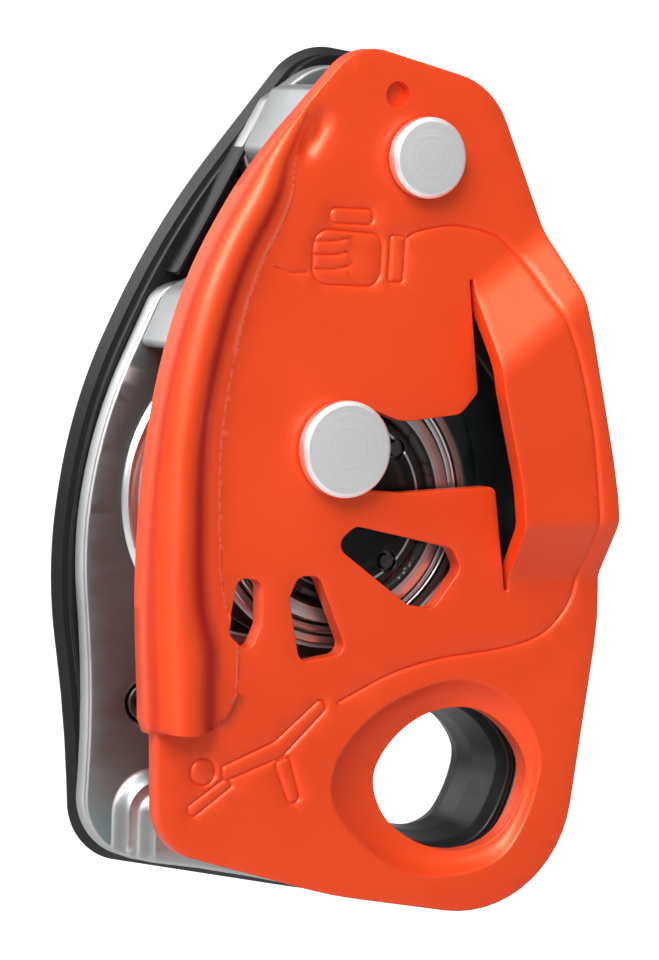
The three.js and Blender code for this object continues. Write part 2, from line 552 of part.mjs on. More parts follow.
const handleTurn = Math.atan2(HINGE.z - AXLE.z, HINGE.x - AXLE.x);
const beside = (centre, along, across) => [
  centre.x + along * Math.cos(handleTurn) - across * Math.sin(handleTurn),
  centre.z + along * Math.sin(handleTurn) + across * Math.cos(handleTurn),
];
const HINGE_FRONT = 17.6;        // back of the thin arm under the grip
const GRIP_BACK = 22.6;
const PIN_HEAD_FRONT = 20.9;

// A thin arm with a thick hub.
function handleBase() {
  const arm = prism(rounded([
    [...beside(AXLE, -10.4, -10.4), 10.3], [...beside(HINGE, 7.4, -7.4), 7.3],
    [...beside(HINGE, 7.4, 7.4), 7.3],
    [...beside(AXLE, -10.4, 10.4), 10.3],
  ], 12), HANDLE_FRONT, HINGE_FRONT);
  return arm.add(rod(AXLE, 10.4, HANDLE_FRONT, HANDLE_BACK, 40))
    .subtract(rod(HINGE, 2.0, 0, 30, 20)).subtract(squareHole(SQUARE + GAP));
}
add('handle_base', handleBase(), 'nylon');
add('handle_hinge_pin', turned(HINGE, [
  [0, HANDLE_FRONT + 0.1], [1.7, HANDLE_FRONT + 0.1], [1.7, PIN_HEAD_FRONT + GAP],
  [3.4, PIN_HEAD_FRONT + GAP],
  [3.4, PIN_HEAD_FRONT + 1.0], [3.0, GRIP_BACK - 0.2], [0, GRIP_BACK - 0.2],
], 24), 'steel');

// The grip folds down beside the hub and stops short of the eye.
const GRIP_FOOT_Z = 13.4;
const gripOutline = rounded([
  [HINGE.x - 7.6, HINGE.z + 7.6, 7.5], [HINGE.x + 7.8, HINGE.z + 7.6, 7.5], [12.6, 44, 40],
  [12.2, GRIP_FOOT_Z, 6.5], [-2.4, GRIP_FOOT_Z, 6.5], [-2.6, 30, 30], [-1.8, 50, 20],
], 12);
add('handle_grip', prism(gripOutline, HINGE_FRONT + GAP, GRIP_BACK)
  .subtract(rod(HINGE, 2.0, 0, 30, 20)).subtract(rod(HINGE, 3.8, PIN_HEAD_FRONT, 30, 24)), 'nylon');

add('axle_circlip', prism([
  ...arc(AXLE, 3.2, 40, 320, 16), ...arc(AXLE, 6.0, 320, 40, 16),
].map(([x, z]) => new THREE.Vector2(x, z)), 21.5, 22.3), 'steel');

const handleCoil = [];
const coilSteps = 36;
for (let i = 0; i <= coilSteps; i += 1) {
  const place = at(AXLE, 6.9, 180 + 30 * i);
  handleCoil.push(new THREE.Vector3(place.x, 12.7 + 2.1 * i / coilSteps, place.z));
}
add('handle_return_spring', wire(handleCoil, 0.32, 44, 5), 'steel');

export default descender;
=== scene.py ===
"""Rope descender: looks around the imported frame. Helper sizes are in millimetres, objects in metres."""
import json
import math

import bpy
import numpy as np
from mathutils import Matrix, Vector
from mathutils.geometry import delaunay_2d_cdt

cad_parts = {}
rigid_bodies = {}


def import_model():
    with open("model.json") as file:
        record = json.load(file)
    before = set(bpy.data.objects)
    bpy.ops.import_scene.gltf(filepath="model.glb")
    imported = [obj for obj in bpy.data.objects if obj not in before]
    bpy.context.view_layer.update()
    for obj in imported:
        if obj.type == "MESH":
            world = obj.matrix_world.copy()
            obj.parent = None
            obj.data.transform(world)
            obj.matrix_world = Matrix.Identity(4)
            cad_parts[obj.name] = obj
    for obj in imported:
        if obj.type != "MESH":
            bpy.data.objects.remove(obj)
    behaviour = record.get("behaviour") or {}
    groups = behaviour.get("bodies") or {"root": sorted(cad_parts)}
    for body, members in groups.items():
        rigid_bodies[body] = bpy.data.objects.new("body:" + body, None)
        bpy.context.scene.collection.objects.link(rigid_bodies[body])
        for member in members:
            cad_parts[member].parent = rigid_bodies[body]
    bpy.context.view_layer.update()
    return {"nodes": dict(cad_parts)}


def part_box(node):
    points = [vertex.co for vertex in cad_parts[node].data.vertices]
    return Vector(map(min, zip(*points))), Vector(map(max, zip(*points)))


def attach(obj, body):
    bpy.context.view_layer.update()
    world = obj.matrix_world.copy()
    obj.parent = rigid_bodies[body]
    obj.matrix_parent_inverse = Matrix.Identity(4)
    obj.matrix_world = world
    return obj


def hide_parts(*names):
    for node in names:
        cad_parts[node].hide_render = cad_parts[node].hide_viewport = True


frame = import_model()
NODES = frame["nodes"]
MM = 0.001


# ------------------------------------------------------------------ places read from the frame, in mm
def low(node):
    return np.array(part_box(node)[0]) / MM


def high(node):
    return np.array(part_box(node)[1]) / MM


def centre(node):
    middle = (low(node) + high(node)) / 2
    return np.array([middle[0], middle[2]])


def depths(node):
    """Its front and back."""
    return low(node)[1], high(node)[1]


PIVOT = centre("plate_pivot_rivet")
AXLE = centre("cam_axle")
WHEEL = centre("wheel")
DISC = centre("wear_disc")
HINGE = centre("handle_hinge_pin")
FACE = low("plate_pivot_bush")[1] - 0.1          # front face of the moving plate
SHEET = 2.8                                      # its thickness
BRIDGE = FACE - low("moving_side_plate")[1]      # how far the bridge stands proud
FLOOR = high("friction_block")[1] + 0.3          # front face of the fixed plate
FIXED_BACK = high("fixed_side_plate")[1]
RING_FRONT = low("fixed_side_plate")[1]          # front of the fixed plate's ring round the eye
COVER_FRONT, COVER_BACK = depths("back_cover")
GRIP_FRONT, GRIP_BACK = depths("handle_grip")


# ------------------------------------------------------------------ plane geometry, (x, z) in mm
def rounded(corners, step=7.0):
    """A polygon with a fillet at each corner: corners are (x, z, radius)."""
    points = []
    count = len(corners)
    for i, (x, z, radius) in enumerate(corners):
        corner = np.array([x, z], float)
        before = np.array(corners[i - 1][:2]) - corner
        after = np.array(corners[(i + 1) % count][:2]) - corner
        lengths = np.linalg.norm(before), np.linalg.norm(after)
        half = math.acos(np.clip(before @ after / lengths[0] / lengths[1], -1, 1)) / 2
        reach = min(radius / math.tan(half), 0.49 * min(lengths))
        if reach < 0.02:
            points.append(corner)
            continue
        start = corner + before / lengths[0] * reach
        end = corner + after / lengths[1] * reach
        arc_radius = reach * math.tan(half)
        inward = (start + end) / 2 - corner
        middle = corner + inward / np.linalg.norm(inward) * arc_radius / math.sin(half)
        first = math.atan2(*(start - middle)[::-1])
        sweep = (math.atan2(*(end - middle)[::-1]) - first + math.pi) % (2 * math.pi) - math.pi
        steps = max(2, round(math.degrees(abs(sweep)) / step))
        for k in range(steps + 1):
            angle = first + sweep * k / steps
            points.append(middle + arc_radius * np.array([math.cos(angle), math.sin(angle)]))
    return np.array(points)


def spline(points, per_span=10, closed=False):
    """Catmull-Rom curve through the points."""
    p = np.array(points, float)
    if closed:
        p = np.vstack([p[-1], p, p[0], p[1]])
    else:
        p = np.vstack([2 * p[0] - p[1], p, 2 * p[-1] - p[-2]])
    t = np.linspace(0, 1, per_span, endpoint=False)[:, None]
    spans = []
    for a, b, c, d in zip(p[:-3], p[1:-2], p[2:-1], p[3:]):
        spans.append(0.5 * (2 * b + (c - a) * t + (2 * a - 5 * b + 4 * c - d) * t ** 2
                            + (3 * b - a - 3 * c + d) * t ** 3))
    curve = np.vstack(spans)
    return curve if closed else np.vstack([curve, p[-2]])


def circle(middle, radius, count=64):
    turn = np.linspace(0, 2 * math.pi, count, endpoint=False)
    return np.array(middle) + radius * np.column_stack([np.cos(turn), np.sin(turn)])


def area(loop):
    nxt = np.roll(loop, -1, axis=0)
    return 0.5 * np.sum(loop[:, 0] * nxt[:, 1] - nxt[:, 0] * loop[:, 1])


def resample(loop, spacing):
    """Splits every side that is longer than the spacing."""
    out = []
    for a, b in zip(loop, np.roll(loop, -1, axis=0)):
        parts = max(1, math.ceil(np.linalg.norm(b - a) / spacing))
        out.extend(a + (b - a) * k / parts for k in range(parts))
    kept = [p for p, q in zip(out, out[1:] + out[:1]) if np.linalg.norm(p - q) > 0.02]
    return np.array(kept)


def inset(loop, distance):
    """Moves the loop to the left of its own direction."""
    back = loop - np.roll(loop, 1, axis=0)
    forth = np.roll(loop, -1, axis=0) - loop
    back /= np.linalg.norm(back, axis=1)[:, None]
    forth /= np.linalg.norm(forth, axis=1)[:, None]
    bisector = back + forth
    bisector /= np.maximum(np.linalg.norm(bisector, axis=1), 1e-6)[:, None]
    left = np.column_stack([-bisector[:, 1], bisector[:, 0]])
    stretch = 1 / np.clip(np.sum(bisector * forth, axis=1), 0.5, 1)
    return loop + left * (distance * stretch)[:, None]


def distance(points, line, closed=True):
    """Distance of each point to a polyline."""
    a = line if closed else line[:-1]
    b = np.roll(line, -1, axis=0) if closed else line[1:]
    best = np.full(len(points), np.inf)
    for p, q in zip(a, b):
        along = q - p
        share = np.clip((points - p) @ along / max(along @ along, 1e-12), 0, 1)
        gap = points - p - share[:, None] * along
        best = np.minimum(best, gap[:, 0] ** 2 + gap[:, 1] ** 2)
    return np.sqrt(best)


def inside(points, loop):
    found = np.zeros(len(points), bool)
    for (x0, z0), (x1, z1) in zip(loop, np.roll(loop, -1, axis=0)):
        if z0 == z1:
            continue
        crosses = (z0 > points[:, 1]) != (z1 > points[:, 1])
        found ^= crosses & (points[:, 0] < (x1 - x0) * (points[:, 1] - z0) / (z1 - z0) + x0)
    return found


def soft_ramp(s, corner=0.18):
    """0 below 0, 1 above 1, with rounded corners."""
    def rise(v):
        return np.where(v < -corner, 0, np.where(v < corner, (v + corner) ** 2 / (4 * corner), v))
    return np.clip(rise(s) - rise(s - 1), 0, 1)


# ------------------------------------------------------------------ meshes
def add_object(name, data):
    made = bpy.data.objects.new(name, data)
    bpy.context.scene.collection.objects.link(made)
    return made


def new_object(name, vertices, faces, body, material, replaces=(), sharp=32):
    mesh = bpy.data.meshes.new(name)
    mesh.from_pydata([tuple(v * MM) for v in np.asarray(vertices, float)], [], [tuple(f) for f in faces])
    mesh.validate()
    mesh.shade_smooth()
    mesh.set_sharp_from_angle(angle=math.radians(sharp))
    piece = add_object(name, mesh)
    mesh.materials.append(material)
    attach(piece, body)
    if replaces:
        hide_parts(*replaces)
    return piece


def fill_points(outer, holes, spacing, fine, fine_spacing, extra, allowed):
    """Points inside a face: a coarse triangular grid, a fine one where fine(points), and extra ones."""
    lo, hi = outer.min(0), outer.max(0)

    def grid(step):
        x = np.arange(lo[0], hi[0], step)
        z = np.arange(lo[1], hi[1], step * 0.866)
        xx, zz = np.meshgrid(x, z)
        xx[1::2] += step / 2
        return np.column_stack([xx.ravel(), zz.ravel()])

    coarse = grid(spacing)
    parts = [coarse if fine is None else coarse[~fine(coarse)]]
    steps = [np.full(len(parts[0]), spacing)]
    if fine is not None:
        dense = grid(fine_spacing)
        parts.append(dense[fine(dense)])
        steps.append(np.full(len(parts[1]), fine_spacing))
    points, step = np.vstack(parts), np.concatenate(steps)
    if allowed is not None:
        room = allowed(points)
        points, step = points[room], step[room]
    if len(extra):
        away = distance_to_cloud(points, extra) > 0.2
        points, step = points[away], step[away]
        points = np.vstack([points, extra])
        step = np.concatenate([step, np.full(len(extra), 0.1)])
    keep = inside(points, outer)
    for hole in holes:
        keep &= ~inside(points, hole)
    points, step = points[keep], step[keep]
    clear = np.full(len(points), np.inf)
    for loop in [outer, *holes]:
        clear = np.minimum(clear, distance(points, loop))
    return points[clear > 0.45 * step]


def distance_to_cloud(points, cloud, cell=0.2):
    """Near 0 for points that share a small cell with the cloud, else far."""
    taken = {(round(x / cell), round(z / cell)) for x, z in cloud}
    far = np.ones(len(points))
    for i, (x, z) in enumerate(points):
        cx, cz = round(x / cell), round(z / cell)
        if any((cx + dx, cz + dz) in taken for dx in (-1, 0, 1) for dz in (-1, 0, 1)):
            far[i] = 0
    return far


def slab(name, outer, holes, front, back, body, material, replaces=(), slot=None, roll=0.4, roll_back=None,
         side=1.2, spacing=3.0, fine=None, fine_spacing=0.55, extra=(), segments=3, wall=(), allowed=None,
         hole_roll=None, fields=None, sharp=32):
    """A plate with rounded edges. front and back are depths or functions of (x, z) points.
    wall lists (inset, depth) rings of the outer side."""
    depth_front = front if callable(front) else (lambda p: np.full(len(p), float(front)))
    depth_back = back if callable(back) else (lambda p: np.full(len(p), float(back)))
    roll_back = roll if roll_back is None else roll_back
    loops = [resample(outer if area(outer) > 0 else outer[::-1], side)]
    loops += [resample(h if area(h) < 0 else h[::-1], min(side, 0.8)) for h in holes]
    hole_roll = roll if hole_roll is None else hole_roll
    rolls = [(roll, roll_back)] + [(hole_roll, hole_roll)] * len(holes)
    faces_loops = [inset(loop, max(pair)) for loop, pair in zip(loops, rolls)]
    inner = fill_points(faces_loops[0], faces_loops[1:], spacing, fine, fine_spacing,
                        np.array(extra).reshape(-1, 2), allowed)
    flat = np.vstack(faces_loops + [inner])
    edges = []
    start = 0
    for loop in faces_loops:
        n = len(loop)
        edges += [(start + i, start + (i + 1) % n) for i in range(n)]
        start += n
    result = delaunay_2d_cdt([Vector(p) for p in flat], edges, [], 0, 1e-5)
    points = np.array([tuple(v) for v in result[0]])
    triangles = np.array(result[2])
    middle = points[triangles].mean(1)
    keep = inside(middle, faces_loops[0])
    for loop in faces_loops[1:]:
        keep &= ~inside(middle, loop)
    triangles = triangles[keep]
    first, second, third = (points[triangles[:, k]] for k in range(3))
    turn = np.cross(second - first, third - first)
    triangles[turn < 0] = triangles[turn < 0][:, ::-1]
    where = {}
    for i, origins in enumerate(result[3]):
        for o in origins:
            where[o] = i

    def skin(p, drop, is_front):
        depth = depth_front(p) + drop if is_front else depth_back(p) - drop
        return np.column_stack([p[:, 0], depth, p[:, 1]])

    vertices = [skin(points, 0, True), skin(points, 0, False)]
    n = len(points)
    faces = [tuple(t) for t in triangles] + [tuple(t[::-1] + n) for t in triangles]
    offset = 2 * n
    start = 0
    for index, loop in enumerate(loops):
        m = len(loop)
        face_ids = [where[start + i] for i in range(m)]
        start += m
        rings = [np.array(face_ids)]
        angles = np.linspace(90, 0, segments + 1)[1:]
        front_roll, rear_roll = rolls[index]
        edge = max(front_roll, rear_roll)
        for angle in np.radians(angles):
            ring = inset(loop, edge - front_roll * math.cos(angle))
            vertices.append(skin(ring, front_roll * (1 - math.sin(angle)), True))
            rings.append(np.arange(offset, offset + m))
            offset += m
        if index == 0:
            for gap, depth in wall:
                ring = inset(loop, edge - front_roll + gap)
                vertices.append(np.column_stack([ring[:, 0], np.full(m, depth), ring[:, 1]]))
                rings.append(np.arange(offset, offset + m))
                offset += m
        for angle in np.radians(angles[::-1]):
            ring = inset(loop, edge - rear_roll * math.cos(angle))
            vertices.append(skin(ring, rear_roll * (1 - math.sin(angle)), False))
            rings.append(np.arange(offset, offset + m))
            offset += m
        rings.append(np.array(face_ids) + n)
        for a, b in zip(rings, rings[1:]):
            faces += [(a[i], b[i], b[(i + 1) % m], a[(i + 1) % m]) for i in range(m)]
    piece = new_object(name, np.vstack(vertices), faces, body, material, replaces, sharp)
    for label, share in (fields or {}).items():
        field = piece.data.attributes.new(label, "FLOAT", "POINT")
        field.data.foreach_set("value", share(np.vstack(vertices)[:, [0, 2]]).astype(np.float32))
    return piece


def fillet(profile, radius, steps=4):
    """Rounds the corners of an open or closed (r, y) profile; radius is one number or one for each point."""
    p = [np.array(q, float) for q in profile]
    closed = np.allclose(p[0], p[-1])
    radii = radius if hasattr(radius, "__len__") else [radius] * len(p)
    out = [] if closed else [p[0]]
    span = range(0, len(p) - 1) if closed else range(1, len(p) - 1)
    for i in span:
        before = (p[i - 1] if i > 0 else p[-2]) - p[i]
        after = p[i + 1] - p[i]
        la, lb = np.linalg.norm(before), np.linalg.norm(after)
        half = math.acos(np.clip(before @ after / la / lb, -1, 1)) / 2
        reach = min(radii[i] / math.tan(half), 0.45 * min(la, lb)) if half < 1.55 else 0
        if reach < 0.005:
            out.append(p[i])
            continue
        a, b = p[i] + before / la * reach, p[i] + after / lb * reach
        for k in range(steps + 1):
            t = k / steps
            out.append((1 - t) ** 2 * a + 2 * t * (1 - t) * p[i] + t ** 2 * b)
    out.append(out[0] if closed else p[-1])
    return out


def turned(name, middle, profile, body, material, replaces=(), steps=96, sharp=32):
    """A turned part about an axis along Y. The profile runs from front to back on the outside, (r, y)."""
    closed = np.allclose(profile[0], profile[-1])
    points = profile[:-1] if closed else profile
    vertices, rings = [], []
    for r, y in points:
        if r < 1e-6:
            rings.append([len(vertices)] * steps)
            vertices.append((middle[0], y, middle[1]))
            continue
        rings.append(list(range(len(vertices), len(vertices) + steps)))
        for k in range(steps):
            turn = 2 * math.pi * k / steps
            vertices.append((middle[0] + r * math.cos(turn), y, middle[1] + r * math.sin(turn)))
    faces = []
    pairs = list(zip(rings, rings[1:])) + ([(rings[-1], rings[0])] if closed else [])
    for a, b in pairs:
        for k in range(steps):
            j = (k + 1) % steps
            face = [a[k], b[k], b[j], a[j]]
            face = [v for i, v in enumerate(face) if v != face[i - 1]]
            if len(face) > 2:
                faces.append(face)
    return new_object(name, np.array(vertices), faces, body, material, replaces, sharp)


# ------------------------------------------------------------------ materials
def material(name, colour, metallic, roughness):
    made = bpy.data.materials.new(name)
    made.use_nodes = True
    shader = made.node_tree.nodes["Principled BSDF"]
    shader.inputs["Base Color"].default_value = (*colour, 1)
    shader.inputs["Metallic"].default_value = metallic
    shader.inputs["Roughness"].default_value = roughness
    return made, made.node_tree, shader


def vector_math(tree, operation, vector, second=(0, 0, 0)):
    node = tree.nodes.new("ShaderNodeVectorMath")
    node.operation = operation
    node.inputs[1].default_value = second
    tree.links.new(vector, node.inputs[0])
    return node


def position(tree, stretch=(1, 1, 1)):
    """Object coordinates in millimetres, stretched."""
    place = tree.nodes.new("ShaderNodeTexCoord").outputs["Object"]
    return vector_math(tree, "MULTIPLY", place, [s / MM for s in stretch]).outputs[0]


def noise(tree, vector, scale, detail=3.0, rough=0.5):
    texture = tree.nodes.new("ShaderNodeTexNoise")
    texture.inputs["Scale"].default_value = scale
    texture.inputs["Detail"].default_value = detail
    texture.inputs["Roughness"].default_value = rough
    tree.links.new(vector, texture.inputs["Vector"])
    return texture.outputs["Fac"]


def remap(tree, value, low_out, high_out, low_in=0.3, high_in=0.7):
    mapper = tree.nodes.new("ShaderNodeMapRange")
    mapper.inputs["From Min"].default_value = low_in
    mapper.inputs["From Max"].default_value = high_in
    mapper.inputs["To Min"].default_value = low_out
    mapper.inputs["To Max"].default_value = high_out
    tree.links.new(value, mapper.inputs["Value"])
    return mapper.outputs["Result"]


def blend_colours(tree, value, colours, stops=(0.3, 0.7)):
    ramp = tree.nodes.new("ShaderNodeValToRGB")
    for element, stop, colour in zip(ramp.color_ramp.elements, stops, colours):
        element.position = stop
        element.color = (*colour, 1)
    tree.links.new(value, ramp.inputs["Fac"])
    return ramp.outputs["Color"]


def bump(tree, shader, height, strength, size):
    node = tree.nodes.new("ShaderNodeBump")
    node.inputs["Strength"].default_value = strength
    node.inputs["Distance"].default_value = size * MM
    tree.links.new(height, node.inputs["Height"])
    previous = shader.inputs["Normal"].links
    if previous:
        tree.links.new(previous[0].from_socket, node.inputs["Normal"])
    tree.links.new(node.outputs["Normal"], shader.inputs["Normal"])


def anodised(name, dark, light, roughness=0.34, metallic=0.5):
    """Dyed anodised aluminium: fine blasted grain under a thin clear oxide."""
    made, tree, shader = material(name, light, metallic, roughness)
    place = position(tree)
    cloud = noise(tree, place, 0.035, 2.0)
    tree.links.new(blend_colours(tree, cloud, (dark, light)), shader.inputs["Base Color"])
    smudge = noise(tree, place, 0.12, 4.0)
    tree.links.new(remap(tree, smudge, roughness - 0.04, roughness + 0.05), shader.inputs["Roughness"])
    bump(tree, shader, noise(tree, place, 6.0, 2.0), 0.10, 0.02)
    # Painted marks carried by two attributes: a painted highlight along the lip's crease, and painted shade,
    # deeper red, where the lip turns out of the plate and at its outer edge.
    for label, colour in (("crease_highlight", (0.95, 0.36, 0.24)), ("painted_lip_shade", (0.36, 0.006, 0.006))):
        share = tree.nodes.new("ShaderNodeAttribute")
        share.attribute_name = label
        tint(tree, shader, share.outputs["Fac"], colour)
    shader.inputs["Coat Weight"].default_value = 0.12
    shader.inputs["Coat Roughness"].default_value = 0.22
    return made


def blasted(name, dark, light, roughness=0.4):
    """Bead-blasted aluminium with faint streaks from tumbling."""
    made, tree, shader = material(name, light, 1.0, roughness)
    place = position(tree)
    cloud = noise(tree, place, 0.09, 3.0)
    tree.links.new(blend_colours(tree, cloud, (dark, light)), shader.inputs["Base Color"])
    streak = noise(tree, position(tree, (0.25, 1, 1.6)), 0.9, 3.0)
    tree.links.new(remap(tree, streak, roughness - 0.015, roughness + 0.02), shader.inputs["Roughness"])
    bump(tree, shader, noise(tree, place, 4.0, 2.0), 0.16, 0.03)
    return made


def depth_mask(tree, place, start, end):
    """0 in front of the start depth, 1 behind the end depth, in mm."""
    split = tree.nodes.new("ShaderNodeSeparateXYZ")
    tree.links.new(place, split.inputs[0])
    return remap(tree, split.outputs["Y"], 0.0, 1.0, start, end)


def product(tree, first, second):
    times = tree.nodes.new("ShaderNodeMath")
    times.operation = "MULTIPLY"
    tree.links.new(first, times.inputs[0])
    tree.links.new(second, times.inputs[1])
    return times.outputs[0]


def tint(tree, shader, mask, colour):
    """Mixes the colour over the base colour where the mask is 1."""
    mix = tree.nodes.new("ShaderNodeMix")
    mix.data_type = "RGBA"
    previous = shader.inputs["Base Color"].links[0].from_socket
    tree.links.new(mask, mix.inputs["Factor"])
    tree.links.new(previous, mix.inputs["A"])
    mix.inputs["B"].default_value = (*colour, 1)
    tree.links.new(mix.outputs["Result"], shader.inputs["Base Color"])


BAND_REACH = 25                                  # radius in mm that the bands can reach


def radial_painted_shade(made, bands):
    """Painted shade by distance from the axis: bands are (radius from which it holds in mm, grey), and the
    dark ones stand in for the shadow deep inside the device.
    """
    tree = made.node_tree
    shader = tree.nodes["Principled BSDF"]
    radius = next(node for node in tree.nodes if node.label == "radius")
    share = tree.nodes.new("ShaderNodeMath")
    share.operation = "DIVIDE"
    share.inputs[1].default_value = BAND_REACH
    tree.links.new(radius.outputs["Value"], share.inputs[0])
    ramp = tree.nodes.new("ShaderNodeValToRGB")
    ramp.color_ramp.interpolation = "CONSTANT"
    for i, (start, grey) in enumerate(bands):
        stops = ramp.color_ramp.elements
        stop = stops[i] if i < 2 else stops.new(start / BAND_REACH)
        stop.position = start / BAND_REACH
        stop.color = (grey, grey, grey, 1)
    tree.links.new(share.outputs[0], ramp.inputs["Fac"])
    mix = tree.nodes.new("ShaderNodeMix")
    mix.data_type = "RGBA"
    mix.blend_type = "MULTIPLY"
    mix.inputs["Factor"].default_value = 1
    tree.links.new(shader.inputs["Base Color"].links[0].from_socket, mix.inputs["A"])
    tree.links.new(ramp.outputs["Color"], mix.inputs["B"])
    tree.links.new(mix.outputs["Result"], shader.inputs["Base Color"])


def paint_floor_shade(made):
    """Painted shade on the flat floor of the fixed plate, which lies in shadow between the plates; its edges
    and bends are left bright.
    """
    tree = made.node_tree
    shader = tree.nodes["Principled BSDF"]
    geometry = tree.nodes.new("ShaderNodeNewGeometry")
    split = tree.nodes.new("ShaderNodeSeparateXYZ")
    tree.links.new(geometry.outputs["Normal"], split.inputs[0])
    facing = remap(tree, split.outputs["Y"], 1.0, 0.0, -0.995, -0.97)
    deep = depth_mask(tree, position(tree), FLOOR - 0.5, FLOOR - 0.1)
    # Painted shade on faces that look straight out at the floor's depth, tinted cool against the orange light
    # the plate throws onto it.
    tint(tree, shader, product(tree, facing, deep), (0.22, 0.31, 0.32))


def paint_shading_behind(made, start, end, colour):
    """Paints another colour behind a depth in mm, fading in from start to end, as painted light and shade."""
    tree = made.node_tree
    mask = depth_mask(tree, position(tree), start, end)
    tint(tree, tree.nodes["Principled BSDF"], mask, colour)


def lathe_turned(name, middle, dark, light, roughness=0.26, grooves=5.0, depth=0.12):
    """Steel turned on a lathe: fine rings about the part's own axis."""
    made, tree, shader = material(name, light, 1.0, roughness)
    place = position(tree)
    away = vector_math(tree, "SUBTRACT", place, (middle[0], 0, middle[1])).outputs[0]
    flat = vector_math(tree, "MULTIPLY", away, (1, 0, 1)).outputs[0]
    radius = vector_math(tree, "LENGTH", flat)
    radius.label = "radius"
    spread = tree.nodes.new("ShaderNodeCombineXYZ")
    tree.links.new(radius.outputs["Value"], spread.inputs["X"])
    rings = noise(tree, spread.outputs[0], grooves, 4.0, 0.65)
    tree.links.new(blend_colours(tree, rings, (dark, light)), shader.inputs["Base Color"])
    tree.links.new(remap(tree, rings, roughness - 0.05, roughness + 0.1), shader.inputs["Roughness"])
    bump(tree, shader, rings, depth, 0.03)
    shader.inputs["Anisotropic"].default_value = 0.5
    return made


def plain_metal(name, dark, light, roughness, grain=2.0, depth=0.1):
    made, tree, shader = material(name, light, 1.0, roughness)
    place = position(tree)
    cloud = noise(tree, place, grain * 0.4, 4.0)
    tree.links.new(blend_colours(tree, cloud, (dark, light)), shader.inputs["Base Color"])
    tree.links.new(remap(tree, cloud, roughness - 0.05, roughness + 0.08), shader.inputs["Roughness"])
    bump(tree, shader, noise(tree, place, grain, 3.0), depth, 0.03)
    return made


def moulded(name, dark, light, roughness=0.42, grain=3.2, depth=0.3):
    """Moulded nylon with a fine spark-eroded grain."""
    made, tree, shader = material(name, light, 0.0, roughness)
    place = position(tree)
    cloud = noise(tree, place, 0.2, 3.0)
    tree.links.new(blend_colours(tree, cloud, (dark, light)), shader.inputs["Base Color"])
    tree.links.new(remap(tree, cloud, roughness - 0.05, roughness + 0.06), shader.inputs["Roughness"])
    bump(tree, shader, noise(tree, place, grain, 3.0, 0.6), depth, 0.05)
    shader.inputs["Specular IOR Level"].default_value = 0.26
    return made


ORANGE = anodised("orange_anodising", (0.72, 0.050, 0.0045), (0.78, 0.062, 0.007), 0.46, 0.4)
SILVER = blasted("blasted_aluminium", (0.33, 0.335, 0.34), (0.40, 0.405, 0.41), 0.5)
PLATE_SILVER = blasted("plate_aluminium", (0.40, 0.40, 0.40), (0.50, 0.50, 0.505), 0.42)
PIVOT_STEEL = lathe_turned("pivot_steel", PIVOT, (0.88, 0.88, 0.88), (0.97, 0.97, 0.97), 0.44, 4.0, 0.07)
AXLE_STEEL = lathe_turned("axle_steel", AXLE, (0.88, 0.88, 0.88), (0.97, 0.97, 0.97), 0.44, 4.0, 0.07)
WHEEL_STEEL = lathe_turned("wheel_steel", WHEEL, (0.42, 0.44, 0.44), (0.58, 0.60, 0.60), 0.28, 3.0)
CAP_STEEL = lathe_turned("cap_steel", WHEEL, (0.42, 0.42, 0.42), (0.6, 0.6, 0.595), 0.3, 4.0)
DISC_STEEL = lathe_turned("disc_steel", DISC, (0.72, 0.72, 0.71), (0.84, 0.84, 0.83), 0.3, 2.5, 0.06)
SPRING_STEEL = plain_metal("spring_steel", (0.34, 0.34, 0.35), (0.5, 0.5, 0.5), 0.3)
BRIGHT_STEEL = plain_metal("bright_steel", (0.55, 0.55, 0.55), (0.7, 0.7, 0.69), 0.28)
DARK_STEEL = plain_metal("blackened_steel", (0.05, 0.05, 0.055), (0.10, 0.10, 0.105), 0.42)
BRONZE = plain_metal("sintered_bronze", (0.35, 0.22, 0.09), (0.55, 0.38, 0.17), 0.42, 5.0, 0.2)
NYLON = moulded("black_nylon", (0.006, 0.006, 0.0065), (0.010, 0.0105, 0.011), 0.36)
COVER_NYLON = moulded("cover_nylon", (0.004, 0.004, 0.0045), (0.008, 0.008, 0.009), 0.36)
GREY_NYLON = moulded("grey_nylon", (0.050, 0.052, 0.054), (0.066, 0.068, 0.070), 0.5)
POLYMER = moulded("white_polymer", (0.62, 0.60, 0.55), (0.72, 0.70, 0.65), 0.4, 2.0, 0.1)

paint_floor_shade(PLATE_SILVER)
# Painted shade inside the device: the dark bands stand in for the shadow between the plates; the narrow rings
# left at the plain colour read as bright arcs.
radial_painted_shade(CAP_STEEL, [(0, 0.05), (10.7, 1.0), (11.0, 0.08), (13.6, 1.0)])
radial_painted_shade(WHEEL_STEEL, [(0, 0.1), (14.5, 1.0), (16.7, 0.12), (17.1, 1.0)])
radial_painted_shade(DISC_STEEL, [(0, 0.06), (18.1, 1.0)])
# Painted shade: the wheel's groove is painted dark where the light does not reach between the plates.
paint_shading_behind(WHEEL_STEEL, low("wheel")[1] + 1.0, low("wheel")[1] + 1.4, (0.07, 0.07, 0.07))
# Painted light: the cover's rear shell is painted a shade lighter than its front band, standing in for the
# light on its outer side.
paint_shading_behind(COVER_NYLON, COVER_FRONT + 2.1, COVER_FRONT + 2.15, (0.011, 0.0115, 0.0125))

